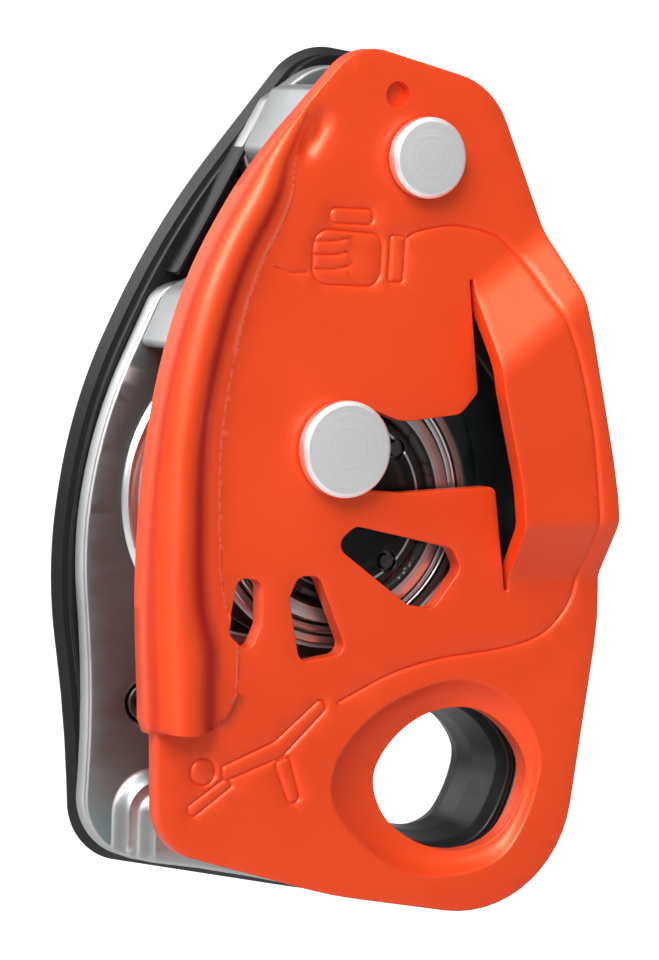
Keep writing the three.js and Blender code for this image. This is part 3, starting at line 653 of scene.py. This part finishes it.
# ------------------------------------------------------------------ outlines, as in the CAD
SWEPT = 400                                      # radius that turns a whole corner into one sweep
EYE = spline([(10.6, 0.0), (8.6, 5.2), (3.8, 8.7), (-2.4, 8.6), (-7.6, 5.4), (-10.4, 0.6), (-8.6, -4.8),
              (-3.4, -8.5), (2.6, -9.4), (7.6, -6.9)], 14, closed=True)
DISH = spline([(12.1, 0.4), (9.9, 7.8), (4.7, 12.0), (-2.0, 13.0), (-11.2, 9.9), (-17.4, 3.8), (-17.6, -2.8),
               (-10.8, -9.8), (-2.6, -12.4), (7.2, -9.9)], 14, closed=True)
FIXED_OUTLINE = rounded([
    (-33.5, 62.9, 4), (-41.3, 47.5, SWEPT), (-44.8, 32, SWEPT), (-43.4, 11, SWEPT), (-45.0, -8.6, 8.5),
    (-30, -11.0, SWEPT), (-8, -16.4, SWEPT), (15.8, -19.0, 14), (20.6, 14, SWEPT), (19.6, 38, SWEPT),
    (14.4, 62, SWEPT), (5.0, 87.4, 10), (-10.2, 91.9, 9), (-18.2, 86.8, 1.5), (-22.2, 80.4, 2.5),
    (-20.4, 76.0, 3), (-22.0, 66.0, 3)], 2.0)
COVER_OUTLINE = rounded([
    (-10.8, 94.2, 9), (5.4, 91.4, 12), (15.4, 66, SWEPT), (21.6, 36, SWEPT), (21.8, 4, SWEPT),
    (18.2, -22.0, 12), (-6, -17.7, SWEPT), (-43.6, -9.6, 8), (-44.1, 8, SWEPT), (-46.6, 27.2, SWEPT),
    (-42.9, 48.3, SWEPT), (-31.4, 70.5, SWEPT)], 2.0)


def grown(loop, distance_out):
    return inset(loop if area(loop) > 0 else loop[::-1], -distance_out)


# ------------------------------------------------------------------ moving side plate
LIP_EDGE = spline([(-43.9, 5.0), (-43.9, 12.0), (-44.2, 24.0), (-43.8, 34.0), (-42.5, 45.6), (-40.1, 56.2),
                   (-36.4, 66.2), (-30.8, 75.6), (-25.6, 82.2), (-21.6, 86.4)], 12)
LIP_CREASE = spline([(-31.5, 5.0), (-31.5, 12.4), (-31.3, 19.4), (-33.2, 25.2), (-33.7, 32.0), (-33.5, 45.0),
                     (-31.0, 57.6), (-27.9, 66.4), (-25.0, 71.6), (-23.5, 75.4), (-23.1, 79.0), (-21.9, 82.6),
                     (-20.9, 85.6)], 9)
LIP_END = spline([(-44.6, 10.2), (-43.4, 9.2), (-41.5, 8.7), (-38.5, 8.45), (-35.5, 8.8), (-33.2, 9.9),
                  (-31.9, 11.6), (-31.3, 13.6)], 6)
LIP_PROFILE = [(0, 0.3), (0.012, 0.34), (0.1, 0.4), (0.17, 0.45), (0.23, 0.65), (0.29, 1.1), (0.35, 1.65),
               (0.41, 2.25), (0.46, 2.8), (0.5, 3.2), (0.56, 3.55), (0.64, 3.7), (0.74, 3.55), (0.84, 2.9),
               (0.92, 1.8), (0.97, 0.7), (1.0, -0.4)]
SLIT = np.array([(1.8, 62.1), (3.0, 50.0), (5.6, 38.0), (6.7, 25.4)])
LOWER_CREASE = 25.4
LOWER_RUN = 7.4
UPPER_CREASE = np.array([1.8, 62.1])
UPPER_TURN = math.radians(36)
UPPER_RUN = 8.4
DISH_DEPTH = 3.3
DISH_FOOT = 0.35                                 # flat ring left round the eye
PLATE_LOOP = np.vstack([
    rounded([(-14.2, 94.2, 7), (5.2, 88.6, 10), (15.4, 62.5, 60), (20.4, 36, 60), (20.8, 20, 40),
             (14.0, -19.8, 20), (-18.0, -13.6, 60), (-42.4, -5.9, 7), (-42.4, 8.3, 0.4),
             (-43.5, 8.7, 0.1), (-43.9, 10.2, 0.4), (-44.1, 12, 0), (-30, 50, 0), (-20.2, 87.9, 0.1)])[:-1],
])


def cut_lip(loop):
    """Puts the lip's edge curve into the outline between its lower corner and the top."""
    first = np.argmin(np.linalg.norm(loop - np.array([-44.1, 12]), axis=1))
    last = np.argmin(np.linalg.norm(loop - np.array([-30, 50]), axis=1))
    edge = LIP_EDGE[LIP_EDGE[:, 1] > 12.5]
    return np.vstack([loop[:first], edge, loop[last + 1:]])


VENTS = [
    [(-32.6, 20.4, 1.2), (-31.2, 27.6, 1.4), (-27.8, 27.0, 1.4), (-27.9, 21.5, 1.2), (-29.6, 18.0, 1.2)],
    [(-24.0, 24.6, 1.4), (-22.7, 27.3, 1.4), (-19.8, 27.2, 1.4), (-15.8, 17.2, 1.4), (-22.6, 16.4, 1.4)],
    [(-17.6, 31.0, 1.6), (-14.6, 33.3, 1.6), (-0.9, 29.9, 1.6), (0.5, 27.2, 1.6), (-3.6, 22.2, 1.6),
     (-7.2, 22.9, 1.6)],
]
WINDOW = rounded([
    (-22.2, 41.5, 4), (-20.6, 47.6, 4.5), (-13, 48.2, 4), (-8, 46.2, 6), (0.4, 46.9, 2), (2.9, 49.6, 1.6),
    (1.65, 64.0, 0.2), (2.15, 64.0, 0.2), (3.5, 50.0, 8), (6.1, 38.0, 20), (7.3, 24.0, 0.2), (6.8, 24.0, 0.2),
    (5.4, 37.5, 1), (-8, 37.2, 4), (-15, 38.1, 4)])
ROUTE = [
    spline([(-25.8, 66.2), (-23.6, 65.5), (-21.4, 65.5)], 12),
    spline([(-7.3, 69.6), (-5.6, 70.3), (-1.8, 70.9), (1.6, 70.6), (5.9, 69.2), (9.0, 66.1), (11.2, 61.4),
            (14.0, 55.1), (16.3, 45.6), (17.3, 36.6), (17.6, 30.0), (17.3, 25.0), (15.7, 21.1),
            (12.0, 18.0), (6.1, 16.6), (-2.6, 15.8), (-9.6, 14.2), (-17.2, 11.0)], 14),
]
FIST = [
    rounded([(-20.8, 64.0, 2.2), (-11.2, 63.4, 2.0), (-10.8, 70.0, 1.6), (-20.4, 71.0, 2.2)]),
    rounded([(-18.4, 71.6, 0.9), (-12.0, 71.2, 0.9), (-12.2, 73.2, 0.9), (-18.0, 73.5, 0.9)]),
    rounded([(-10.0, 64.0, 0.5), (-7.9, 63.9, 0.5), (-7.5, 69.8, 0.5), (-9.6, 69.9, 0.5)]),
]
KNUCKLES = [spline([(-20.6, z), (-17.8, z - 0.1), (-15.6, z + 0.2)], 6) for z in (65.9, 67.7, 69.4)]
FIGURE = [
    circle((-36.0, 3.4), 1.7, 28),
    rounded([(-33.6, 3.8, 0.8), (-26.0, 6.6, 3), (-19.4, 11.8, 0.8), (-18.6, 10.4, 0.8), (-25.0, 4.6, 3),
             (-33.0, 2.0, 0.8)]),
    rounded([(-31.6, 1.6, 0.7), (-37.6, -2.4, 0.8), (-38.4, -1.0, 0.8), (-33.0, 2.4, 0.6)]),
    rounded([(-26.0, 3.8, 0.7), (-24.0, -1.6, 0.8), (-22.4, -1.0, 0.8), (-24.0, 4.8, 0.7)]),
]
GROOVES = [(line, False) for line in ROUTE + KNUCKLES] + [(loop, True) for loop in FIST + FIGURE]
GROOVE_DEPTH = 0.34
GROOVE_WIDTH = 0.22
DETENT = (-8.7, 87.5)                            # small round dent near the top
DETENT_R = 1.62
DETENT_DEPTH = 1.3


def right_of_slit(p):
    return (p[:, 0] > np.interp(p[:, 1], SLIT[::-1, 1], SLIT[::-1, 0]) + 0.25) & (p[:, 1] > LOWER_CREASE - 2)


def bridge_share(p):
    lower = (p[:, 1] - LOWER_CREASE) / LOWER_RUN
    upper = ((p[:, 0] - UPPER_CREASE[0]) * math.sin(UPPER_TURN)
             - (p[:, 1] - UPPER_CREASE[1]) * math.cos(UPPER_TURN)) / UPPER_RUN
    return np.where(right_of_slit(p), soft_ramp(lower, 0.1) * soft_ramp(upper), 0)


def on_lip(p):
    crease_x = np.interp(p[:, 1], LIP_CREASE[:, 1], LIP_CREASE[:, 0])
    end_z = np.interp(p[:, 0], LIP_END[:, 0], LIP_END[:, 1])
    return (p[:, 0] < crease_x) & (p[:, 1] > end_z) & (p[:, 1] < 85.6)


def lip_share(p):
    """0 at the lip's inner border, 1 at its outer edge, with the width in mm."""
    to_crease = distance(p, LIP_CREASE, closed=False)
    width = to_crease + distance(p, LIP_EDGE, closed=False)
    return to_crease / width, width


def lip_height(p):
    share, width = lip_share(p)
    profile = spline(LIP_PROFILE, 8)
    height = np.interp(share, profile[:, 0], profile[:, 1])
    fade = np.clip(width / 10.0, 0, 1) ** 1.3
    return np.where(on_lip(p), height * fade, 0)


def lip_grid():
    """Points that follow the folded lip, so that its facets run along it."""
    crease, edge = (resample_open(line, 96) for line in (LIP_CREASE, LIP_EDGE))
    shares = np.concatenate([[0.008, 0.022, 0.036, 0.1], np.linspace(0.15, 0.97, 27)])
    ruled = np.vstack([crease + (edge - crease) * share for share in shares])
    room = distance(ruled, LIP_END, closed=False) > 0.25
    border = beside(LIP_CREASE[LIP_CREASE[:, 1] > 13.6], (-0.1, -0.3))
    return np.vstack([ruled[on_lip(ruled) & room], border, beside(LIP_END, (0.04, -0.08))])


def resample_open(line, count):
    run = np.concatenate([[0], np.cumsum(np.linalg.norm(np.diff(line, axis=0), axis=1))])
    at = np.linspace(0, run[-1], count)
    return np.column_stack([np.interp(at, run, line[:, 0]), np.interp(at, run, line[:, 1])])


def dish_grid():
    rings = [resample(grown(DISH, -d), 0.5 + 0.15 * abs(d))
             for d in (-0.3, 0, 0.12, 0.26, 0.45, 0.7, 1.0, 1.4, 1.9, 2.5, 3.2, 4.0, 5.0, 6.2)]
    rings = np.vstack(rings)
    return rings[distance(rings, grown(EYE, 0.2)) > 0.12]


def dish_depth(p):
    """Pressed in deep at the left and only just at the right, steep at the rim, with a soft rim."""
    to_rim = np.sqrt(distance(p, DISH) ** 2 + 0.18 ** 2) - 0.18
    to_eye = distance(p, grown(EYE, DISH_FOOT))
    share = np.where(inside(p, DISH), to_rim / (to_rim + to_eye), 0)
    share = np.where(inside(p, grown(EYE, DISH_FOOT)), 1, share)
    level = 1 - 0.72 * soft_ramp((p[:, 0] + 6) / 17, 0.3)
    return DISH_DEPTH * level * (1 - (1 - share) ** 1.9)


def groove_depth(p):
    depth = np.zeros(len(p))
    for line, closed in GROOVES:
        gap = distance(p, line, closed)
        depth = np.maximum(depth, GROOVE_DEPTH * np.exp(-(gap / GROOVE_WIDTH) ** 2))
    return depth


def dimple_depth(p):
    """Pocket where the lip runs out into the plate's top edge, with a small fold in it."""
    turn = math.radians(60)
    along = (p[:, 0] + 20.4) * math.cos(turn) + (p[:, 1] - 82.4) * math.sin(turn)
    across = -(p[:, 0] + 20.4) * math.sin(turn) + (p[:, 1] - 82.4) * math.cos(turn)
    pocket = 1.4 * np.exp(-(along / 3.2) ** 4 - (across / 1.2) ** 2)
    fold = 0.8 * np.exp(-((along - 0.6) / 1.5) ** 2 - ((across - 0.2) / 0.6) ** 2)
    return pocket - fold


def plate_form(p):
    return FACE - lip_height(p) - BRIDGE * bridge_share(p) + dish_depth(p)


def plate_front(p):
    detent = DETENT_DEPTH * (np.linalg.norm(p - np.array(DETENT), axis=1) < DETENT_R)
    return plate_form(p) + groove_depth(p) + dimple_depth(p) + detent


def plate_back(p):
    return plate_form(p) + SHEET - 0.1


def plate_fine(p):
    bridge_zone = (p[:, 0] > 0.5) & (p[:, 1] > LOWER_CREASE - 2.5) & (p[:, 1] < 72)
    return bridge_zone | (np.abs(dimple_depth(p)) > 0.02)


def plate_crease_highlight(p):
    """Painted highlight along the lip's inner border, where its small step catches the light."""
    near = distance(p, LIP_CREASE, closed=False)
    return 0.22 * (on_lip(p) & (near < 0.3) & (p[:, 1] < 80))


def plate_painted_shade(p):
    """Painted shade, deeper red, on the slope where the lip bends out of the plate, and a painted dark
    reflection at its outer turn.
    """
    share, width = lip_share(p)
    inner = 0.95 * np.exp(-((share - 0.36) / 0.11) ** 2)
    outer = 0.6 * np.exp(-((share - 0.955) / 0.025) ** 2)
    return np.where(on_lip(p), (inner + outer) * np.clip((width - 2) / 6, 0, 1), 0)


def plate_clear(p):
    """True where the plate's grid leaves room for the lip's and the dish's own points."""
    return ~on_lip(p) & ~inside(p, grown(DISH, 0.6))


def beside(line, offsets):
    """Points along a line and to both sides of it."""
    step = np.gradient(line, axis=0)
    step /= np.linalg.norm(step, axis=1)[:, None]
    left = np.column_stack([-step[:, 1], step[:, 0]])
    return np.vstack([line + left * o for o in offsets])


def moving_plate():
    across = (-0.48, -GROOVE_WIDTH, 0, GROOVE_WIDTH, 0.48)
    extra = [beside(resample(line, 0.45)[:-1 if closed else -2], across) for line, closed in GROOVES]
    extra += [lip_grid(), dish_grid()]
    extra += [circle(DETENT, r, 32) for r in (1.5, 1.6, 1.68, 1.9)]
    holes = [WINDOW, EYE, circle(PIVOT, 4.6, 48), *[rounded(v) for v in VENTS]]
    return slab("orange_side_plate", cut_lip(PLATE_LOOP), holes, plate_front, plate_back, "side_plate",
                ORANGE, ["moving_side_plate"], "orange_plate", roll=0.35, side=0.7, spacing=2.4,
                fine=plate_fine, fine_spacing=0.6, extra=np.vstack(extra), allowed=plate_clear, hole_roll=0.2,
                fields={"crease_highlight": plate_crease_highlight, "painted_lip_shade": plate_painted_shade}, sharp=75)


moving_plate()


# ------------------------------------------------------------------ rivet heads and axle
def headed(name, node, middle, head, shank, tail, material_used):
    """A shouldered rivet: flat face, rounded rim, gap under the head, peened tail."""
    front, back = depths(node)
    profile = [(0, front), (head - 0.5, front + 0.04), (head, front + 0.5), (head, FACE - 0.55),
               (head - 0.25, FACE - 0.3), (shank, FACE - 0.3), *tail(back)]
    radii = [0, 0.35, 0.25, 0.12, 0.1, 0.05] + [0.15] * (len(profile) - 6)
    return turned(name, middle, fillet(profile, radii), "frame", material_used, [node], 128)


headed("pivot_rivet_turned", "plate_pivot_rivet", PIVOT, 5.15, 3.0,
       lambda back: [(3.0, FIXED_BACK + 0.3), (4.6, FIXED_BACK + 0.3), (4.0, back - 0.2), (0, back)],
       PIVOT_STEEL)
headed("cam_axle_turned", "cam_axle", AXLE, 6.15, 3.0,
       lambda back: [(3.0, back - 2.2), (2.9, back - 2.2), (2.9, back - 1.1), (3.0, back - 1.1),
                     (3.0, back - 0.4), (2.6, back), (0, back)], AXLE_STEEL)


# ------------------------------------------------------------------ fixed side
SCREWS = [centre(f"cover_screw_{i}") for i in range(1, 5)]
WALL_SCREWS = [centre(f"wall_screw_{i}") for i in (1, 2)]
BLOCK_RIVETS = [centre(f"friction_rivet_{i}") for i in (1, 2)]
STOP_PIN = centre("cam_stop_pin")
PLATFORM = rounded([(-41.2, -24, 0), (-40.4, 1.4, 7), (-30, 1.8, 12), (-18, 9.4, 12), (0, 16.6, 12),
                    (16, 13.4, 12), (26, -6, 3), (26, -26, 0)])
PLATFORM_RISE = 3.9


def fixed_front(p):
    """Floor, stepped up in two bends to the platform, and a ring round the eye."""
    depth = np.where(inside(p, PLATFORM), distance(p, PLATFORM), 0)
    steps = soft_ramp((depth - 0.2) / 1.1, 0.4) + soft_ramp((depth - 3.0) / 1.1, 0.4)
    rise = PLATFORM_RISE * 0.5 * steps
    out = np.where(inside(p, EYE), 0, distance(p, EYE))
    ring = (FLOOR - PLATFORM_RISE - RING_FRONT) * soft_ramp((6.2 - out) / 2.2, 0.25)
    return FLOOR - rise - ring


def fixed_fine(p):
    depth = np.where(inside(p, PLATFORM), distance(p, PLATFORM), np.inf)
    return (depth < 5.5) | (distance(p, EYE) < 7) | ((distance(p, PLATFORM) < 1) & (p[:, 0] > -42))


def fixed_plate():
    holes = [grown(EYE, 1.7), circle(AXLE, 3.3, 48), circle(PIVOT, 3.3, 48), circle(STOP_PIN, 1.5, 24)]
    holes += [circle(s, 2.8, 32) for s in SCREWS] + [circle(s, 1.6, 24) for s in WALL_SCREWS]
    holes += [circle(s, 1.8, 24) for s in BLOCK_RIVETS]
    bends = PLATFORM if area(PLATFORM) > 0 else PLATFORM[::-1]
    bends = resample(bends, 0.8)
    bends = np.vstack([inset(bends, d) for d in (-0.2, 0.1, 0.3, 0.6, 0.9, 1.2, 1.5, 2.6, 2.9, 3.1, 3.4, 3.7,
                                                 4.0, 4.4)])
    slab("silver_side_plate", FIXED_OUTLINE, holes, fixed_front, FIXED_BACK, "frame", PLATE_SILVER,
         ["fixed_side_plate"], "silver_plate", roll=0.45, side=0.9, spacing=2.6, fine=fixed_fine,
         fine_spacing=0.6, extra=bends,
         allowed=lambda p: (distance(p, PLATFORM) > 5.5) | (distance(p, EYE) < 7))


fixed_plate()


def screw(name, node, middle, head_front, head_back, head_r, shank_r, end, material_used, slot, body="frame"):
    """A screw with a rounded head, a six-lobed socket and a rolled thread."""
    depth = 0.55 * (head_back - head_front)
    turn = np.linspace(0, 2 * math.pi, 48, endpoint=False)
    lobes = head_r * (0.46 + 0.09 * np.cos(6 * turn))
    socket = np.array(middle) + np.column_stack([lobes * np.cos(turn), lobes * np.sin(turn)])
    head = slab(name, circle(middle, head_r, 56), [socket], head_front, head_back, body, material_used,
                [node], slot, roll=0.28, roll_back=0.1, side=1, spacing=1.2)
    step = 0.16
    thread = [(0, head_front + depth), (head_r * 0.6, head_front + depth)]
    thread += [(head_r * 0.6, head_back - 0.05), (shank_r, head_back - 0.05)]
    turns = max(2, int(abs(end - head_back) / (4 * step)))
    for k in range(turns):
        y = head_back + (end - head_back) * (k + 0.5) / turns
        thread += [(shank_r, y - step), (shank_r - 0.14, y), (shank_r, y + step)]
    thread += [(shank_r - 0.2, end), (0, end)]
    shank = turned(name + ".shank", middle, thread, body, material_used, (), 40)
    shank.parent = head
    shank.matrix_parent_inverse.identity()
    return head


for i, place in enumerate(SCREWS, 1):
    node = f"cover_screw_{i}"
    screw(f"cover_screw_head_{i}", node, place, low(node)[1], low(node)[1] + 1.5, 2.4, 1.2, high(node)[1],
          DARK_STEEL, "dark_steel")

slab("friction_block_blasted", rounded([
    (-37.0, 55.6, 0.8), (-33.2, 62.9, 4), (-29.0, 65.0, 3), (-20.4, 65.4, 1.5), (-17.0, 62.8, 1.5),
    (-22.5, 59.8, 8), (-29.2, 56.0, 3)]), [], *depths("friction_block"), "frame", SILVER, ["friction_block"],
    "silver_plate", roll=0.6, side=0.8, spacing=2)
slab("pivot_boss_blasted", rounded([
    (-15.5, 88.7, 0.8), (-18.0, 88.3, 1), (-22.2, 80.6, 1.5), (-19.2, 75.0, 4), (-8, 71.6, 6), (2.6, 73.4, 6),
    (3.2, 84, 6), (-1, 88.7, 3)]), [circle(PIVOT, 3.3, 48)], *depths("pivot_boss"), "frame", SILVER,
    ["pivot_boss"], "silver_plate", roll=0.5, side=0.8, spacing=2)


def arc(middle, radius, first, last, count=16):
    turn = np.radians(np.linspace(first, last, count))
    return [(middle[0] + radius * math.cos(t), middle[1] + radius * math.sin(t), 0) for t in turn]


slab("channel_wall_moulded", rounded([
    (14.6, 15.4, 1.5), (18.8, 15.6, 1.5), (19.2, 36, 60), (14.8, 57, 60), (7.6, 79.4, 2.5), (4.8, 72, 3),
    (-4.5, 69.4, 1.5), (-3.6, 62.2, 2), *arc(WHEEL, 26.0, 52, -32)]), [], *depths("channel_wall"), "frame",
    NYLON, ["channel_wall"], "black_nylon", roll=0.6, side=0.9, spacing=2.5)

disc_front, disc_back = depths("wear_disc")
turned("wear_disc_turned", DISC, fillet([
    (0, disc_front), (18.0, disc_front), (18.25, disc_front + 0.7), (19.7, disc_front + 0.8),
    (20.6, disc_back), (0, disc_back)], 0.12), "frame", DISC_STEEL, ["wear_disc"], 160)


def loft_loops(name, rings, body, material_used, replaces):
    """A closed tube through rings of equal point count, the last joined to the first."""
    m = len(rings[0])
    vertices = np.vstack(rings)
    faces = []
    for k in range(len(rings)):
        a, b = k * m, ((k + 1) % len(rings)) * m
        faces += [(a + i, b + i, b + (i + 1) % m, a + (i + 1) % m) for i in range(m)]
    return new_object(name, vertices, faces, body, material_used, replaces)


def eye_bushing():
    """Nylon lining of the eye: waisted inside, with a rounded front lip."""
    front, back = depths("eye_bushing")
    section = fillet([(1.3, front), (1.3, back), (0.3, back), (-0.9, back - 2.4), (-1.5, back - 5.0),
                      (-1.2, front + 6.5), (-0.3, front + 2.0), (0.4, front), (1.3, front)],
                     [0.3, 0.2, 0.5, 2, 3, 3, 2, 0.4, 0.3], 5)
    rings = []
    for out, y in section[:-1]:
        loop = grown(EYE, out)
        rings.append(np.column_stack([loop[:, 0], np.full(len(loop), y), loop[:, 1]]))
    return loft_loops("eye_lining", rings, "frame", NYLON, ["eye_bushing"])


eye_bushing()


# ------------------------------------------------------------------ back cover
def cover_back(p):
    """Gently crowned, with a moulded dish round the eye."""
    edge = distance(p, COVER_OUTLINE)
    crown = 0.8 * soft_ramp(edge / 9, 0.4) - 0.8
    eye_gap = np.where(inside(p, EYE), 0, distance(p, EYE))
    dish = 3.6 * soft_ramp((6.0 - eye_gap) / 3.6, 0.3)
    return COVER_BACK + crown - dish


def cover_fine(p):
    return (distance(p, EYE) < 7.5) | (distance(p, COVER_OUTLINE) < 4)


slab("back_cover_moulded", COVER_OUTLINE, [grown(EYE, 1.7), circle(AXLE, 8.4, 64)], COVER_FRONT, cover_back,
     "frame", COVER_NYLON, ["back_cover"], "black_nylon", roll=0.35, roll_back=1.3, side=1.0, spacing=3,
     fine=cover_fine, fine_spacing=0.9, segments=4,
     wall=[(gap, COVER_FRONT + y)
           for gap, y in ((0.95, 1.7), (1.3, 1.8), (1.3, 2.1), (0.95, 2.2), (0.0, 2.3))])

rib = spline([(-20.4, 82.5), (-24.9, 74.9), (-28.6, 68.9), (-31.2, 64.8)], 12)
slab("cover_rib", np.vstack([beside(rib, (0.35,)), beside(rib, (-0.35,))[::-1]]), [], FLOOR - 0.2,
     COVER_FRONT + 0.2, "frame", COVER_NYLON, (), "black_nylon", roll=0.25, side=1.0, spacing=3)

# ------------------------------------------------------------------ wheel and cam
wheel_front, wheel_back = depths("wheel")
bore = 13.5
turned("rope_wheel_turned", WHEEL, fillet([
    *[(r, wheel_front + y) for r, y in (
        (bore, 1.2), (15.8, 1.2), (15.8, 0.1), (16.4, 0), (16.6, 0.15), (16.8, 0), (18.1, 0), (18.7, 0.5),
        (18.7, 1.1), (16.3, 3.3), (15.2, 4.4), (15.0, 5.2), (15.2, 6.0), (16.3, 7.2))],
    (18.7, wheel_back - 1.2), (18.7, wheel_back - 0.5), (18.1, wheel_back), (bore, wheel_back),
    (bore, wheel_front + 1.2)], 0.25), "wheel", WHEEL_STEEL, ["wheel"], 160)
CAP_SCREWS = [centre(f"cap_screw_{i}") for i in (1, 2, 3)]
cap_front, cap_back = depths("wheel_retaining_cap")


def cap_face(p):
    """Turned steps: a bright rim, a groove and a dished middle."""
    r = np.linalg.norm(p - WHEEL, axis=1)
    groove = 0.35 * (soft_ramp((r - 12.0) / 0.25, 0.3) - soft_ramp((r - 12.8) / 0.25, 0.3))
    return cap_front + groove + 0.3 * soft_ramp((9.2 - r) / 0.4, 0.3)


slab("wheel_cap_turned", circle(WHEEL, 15.4, 120),
     [circle(AXLE, 4.2, 40), circle(WHEEL, 2.0, 24), *[circle(s, 1.3, 20) for s in CAP_SCREWS]], cap_face,
     cap_back, "cam", CAP_STEEL, ["wheel_retaining_cap"], "dark_steel", roll=0.2, side=1.0, spacing=1.6,
     fine=lambda p: np.abs(np.linalg.norm(p - WHEEL, axis=1) - 11) < 2.4, fine_spacing=0.35)

# ------------------------------------------------------------------ handle
GRIP_LOOP = rounded([(HINGE[0] - 7.6, HINGE[1] + 7.6, 7.5), (HINGE[0] + 7.8, HINGE[1] + 7.6, 7.5),
                     (12.6, 44, 40), (12.2, 13.4, 6.5), (-2.4, 13.4, 6.5), (-2.6, 30, 30), (-1.8, 50, 20)])


def grip_back(p):
    """Crowned, with finger ribs across the lower half and a flat boss at the hinge."""
    edge = distance(p, GRIP_LOOP)
    crown = 1.1 * soft_ramp(edge / 4.5, 0.4) - 1.1
    zone = soft_ramp((46 - p[:, 1]) / 3, 0.4) * soft_ramp((p[:, 1] - 18) / 3, 0.4)
    zone = zone * soft_ramp((edge - 1.6) / 1.2, 0.4)
    ribs = 0.45 * zone * (0.5 - 0.5 * np.cos(2 * math.pi * p[:, 1] / 3.2))
    return GRIP_BACK + crown - ribs


slab("handle_grip_moulded", GRIP_LOOP, [circle(HINGE, 3.8, 48)], GRIP_FRONT, grip_back, "grip", GREY_NYLON,
     ["handle_grip"], "black_nylon", roll=0.5, roll_back=1.1, side=0.8, spacing=2,
     fine=lambda p: p[:, 1] < 48, fine_spacing=0.5, segments=4)

# ------------------------------------------------------------------ CAD nodes that keep their shape
KEPT = {
    "plate_pivot_bush": BRONZE, "cam_bush": BRONZE, "wheel_bush": BRONZE, "plate_pivot_washer": POLYMER,
    "cam_stop_pin": BRIGHT_STEEL, "handle_hinge_pin": BRIGHT_STEEL, "handle_drive_sleeve": DARK_STEEL,
    "handle_base": GREY_NYLON, "cam_body": SILVER, "axle_circlip": SPRING_STEEL,
    "cam_return_spring": SPRING_STEEL, "handle_return_spring": SPRING_STEEL,
    **{f"friction_rivet_{i}": BRIGHT_STEEL for i in (1, 2)},
    **{f"wall_screw_{i}": DARK_STEEL for i in (1, 2)},
    **{f"cap_screw_{i}": DARK_STEEL for i in (1, 2, 3)},
}
for node, finish in KEPT.items():
    piece = NODES[node]
    piece.data.materials.clear()
    piece.data.materials.append(finish)
    piece.data.shade_smooth()
    piece.data.set_sharp_from_angle(angle=math.radians(35))

# ------------------------------------------------------------------ stage, light and camera
AIM = Vector((-18.4, FACE, 39.3)) * MM
AZIMUTH, ELEVATION, RANGE = math.radians(-27), math.radians(5), 0.65


def outward(azimuth, elevation):
    return Vector((math.sin(azimuth) * math.cos(elevation), -math.cos(azimuth) * math.cos(elevation),
                   math.sin(elevation)))


def look_at(thing, target):
    thing.rotation_euler = (target - thing.location).to_track_quat("-Z", "Y").to_euler()


camera_data = bpy.data.cameras.new("camera")
camera_data.lens = 194.0
camera_data.sensor_width = 36
camera_data.clip_start = 0.01
camera_data.clip_end = 50
camera = add_object("camera", camera_data)
camera.location = AIM + outward(AZIMUTH, ELEVATION) * RANGE
look_at(camera, AIM)
bpy.context.scene.camera = camera


def softbox(name, azimuth, elevation, reach, size, power, colour=(1, 1, 1)):
    data = bpy.data.lights.new(name, "AREA")
    data.shape = "RECTANGLE"
    data.size, data.size_y = size
    data.energy = power
    data.color = colour
    lamp = add_object(name, data)
    lamp.location = AIM + outward(math.radians(azimuth), math.radians(elevation)) * reach
    look_at(lamp, AIM)


softbox("key", -46, 42, 0.9, (0.5, 0.5), 13.5)
softbox("front_fill", -24, 8, 1.1, (0.5, 0.8), 2.2)
softbox("left_strip", -132, 6, 0.7, (0.14, 0.9), 1.2)
softbox("top", -20, 82, 0.8, (0.6, 0.6), 1.6)
softbox("back_left", 215, 30, 0.9, (0.7, 0.7), 3.0)

world = bpy.data.worlds.new("studio")
bpy.context.scene.world = world
world.use_nodes = True
world.node_tree.nodes["Background"].inputs["Color"].default_value = (0.9, 0.92, 0.95, 1)
world.node_tree.nodes["Background"].inputs["Strength"].default_value = 0.4


def cyclorama():
    """A pale floor that curves up into a backdrop on all sides."""
    steps, rings = 48, []
    profile = [(0, -0.30), (2.0, -0.30), (2.6, -0.2), (3.0, 0.2), (3.1, 2.5)]
    vertices = [(0, 0, profile[0][1])]
    for r, z in profile[1:]:
        vertices += [(r * math.cos(2 * math.pi * k / steps), r * math.sin(2 * math.pi * k / steps), z)
                     for k in range(steps)]
    faces = [(0, 1 + k, 1 + (k + 1) % steps) for k in range(steps)]
    for ring in range(len(profile) - 2):
        a, b = 1 + ring * steps, 1 + (ring + 1) * steps
        faces += [(a + k, b + k, b + (k + 1) % steps, a + (k + 1) % steps) for k in range(steps)]
    mesh = bpy.data.meshes.new("backdrop")
    mesh.from_pydata(vertices, [], faces)
    mesh.shade_smooth()
    backdrop = add_object("backdrop", mesh)
    made, tree, shader = material("paper", (0.55, 0.55, 0.55), 0, 0.9)
    unit = vector_math(tree, "NORMALIZE", position(tree)).outputs[0]
    behind = vector_math(tree, "DOT_PRODUCT", unit, -outward(AZIMUTH, ELEVATION))
    # The backdrop glows, brightest straight behind the object as seen from the camera: a painted pool of
    # light, which also lights the object.
    painted_light_pool = remap(tree, behind.outputs["Value"], 0.10, 1.0, 0.962, 0.986)
    tree.links.new(painted_light_pool, shader.inputs["Emission Strength"])
    shader.inputs["Emission Color"].default_value = (1, 1, 1, 1)
    mesh.materials.append(made)


cyclorama()
bpy.context.scene.view_settings.view_transform = "Standard"
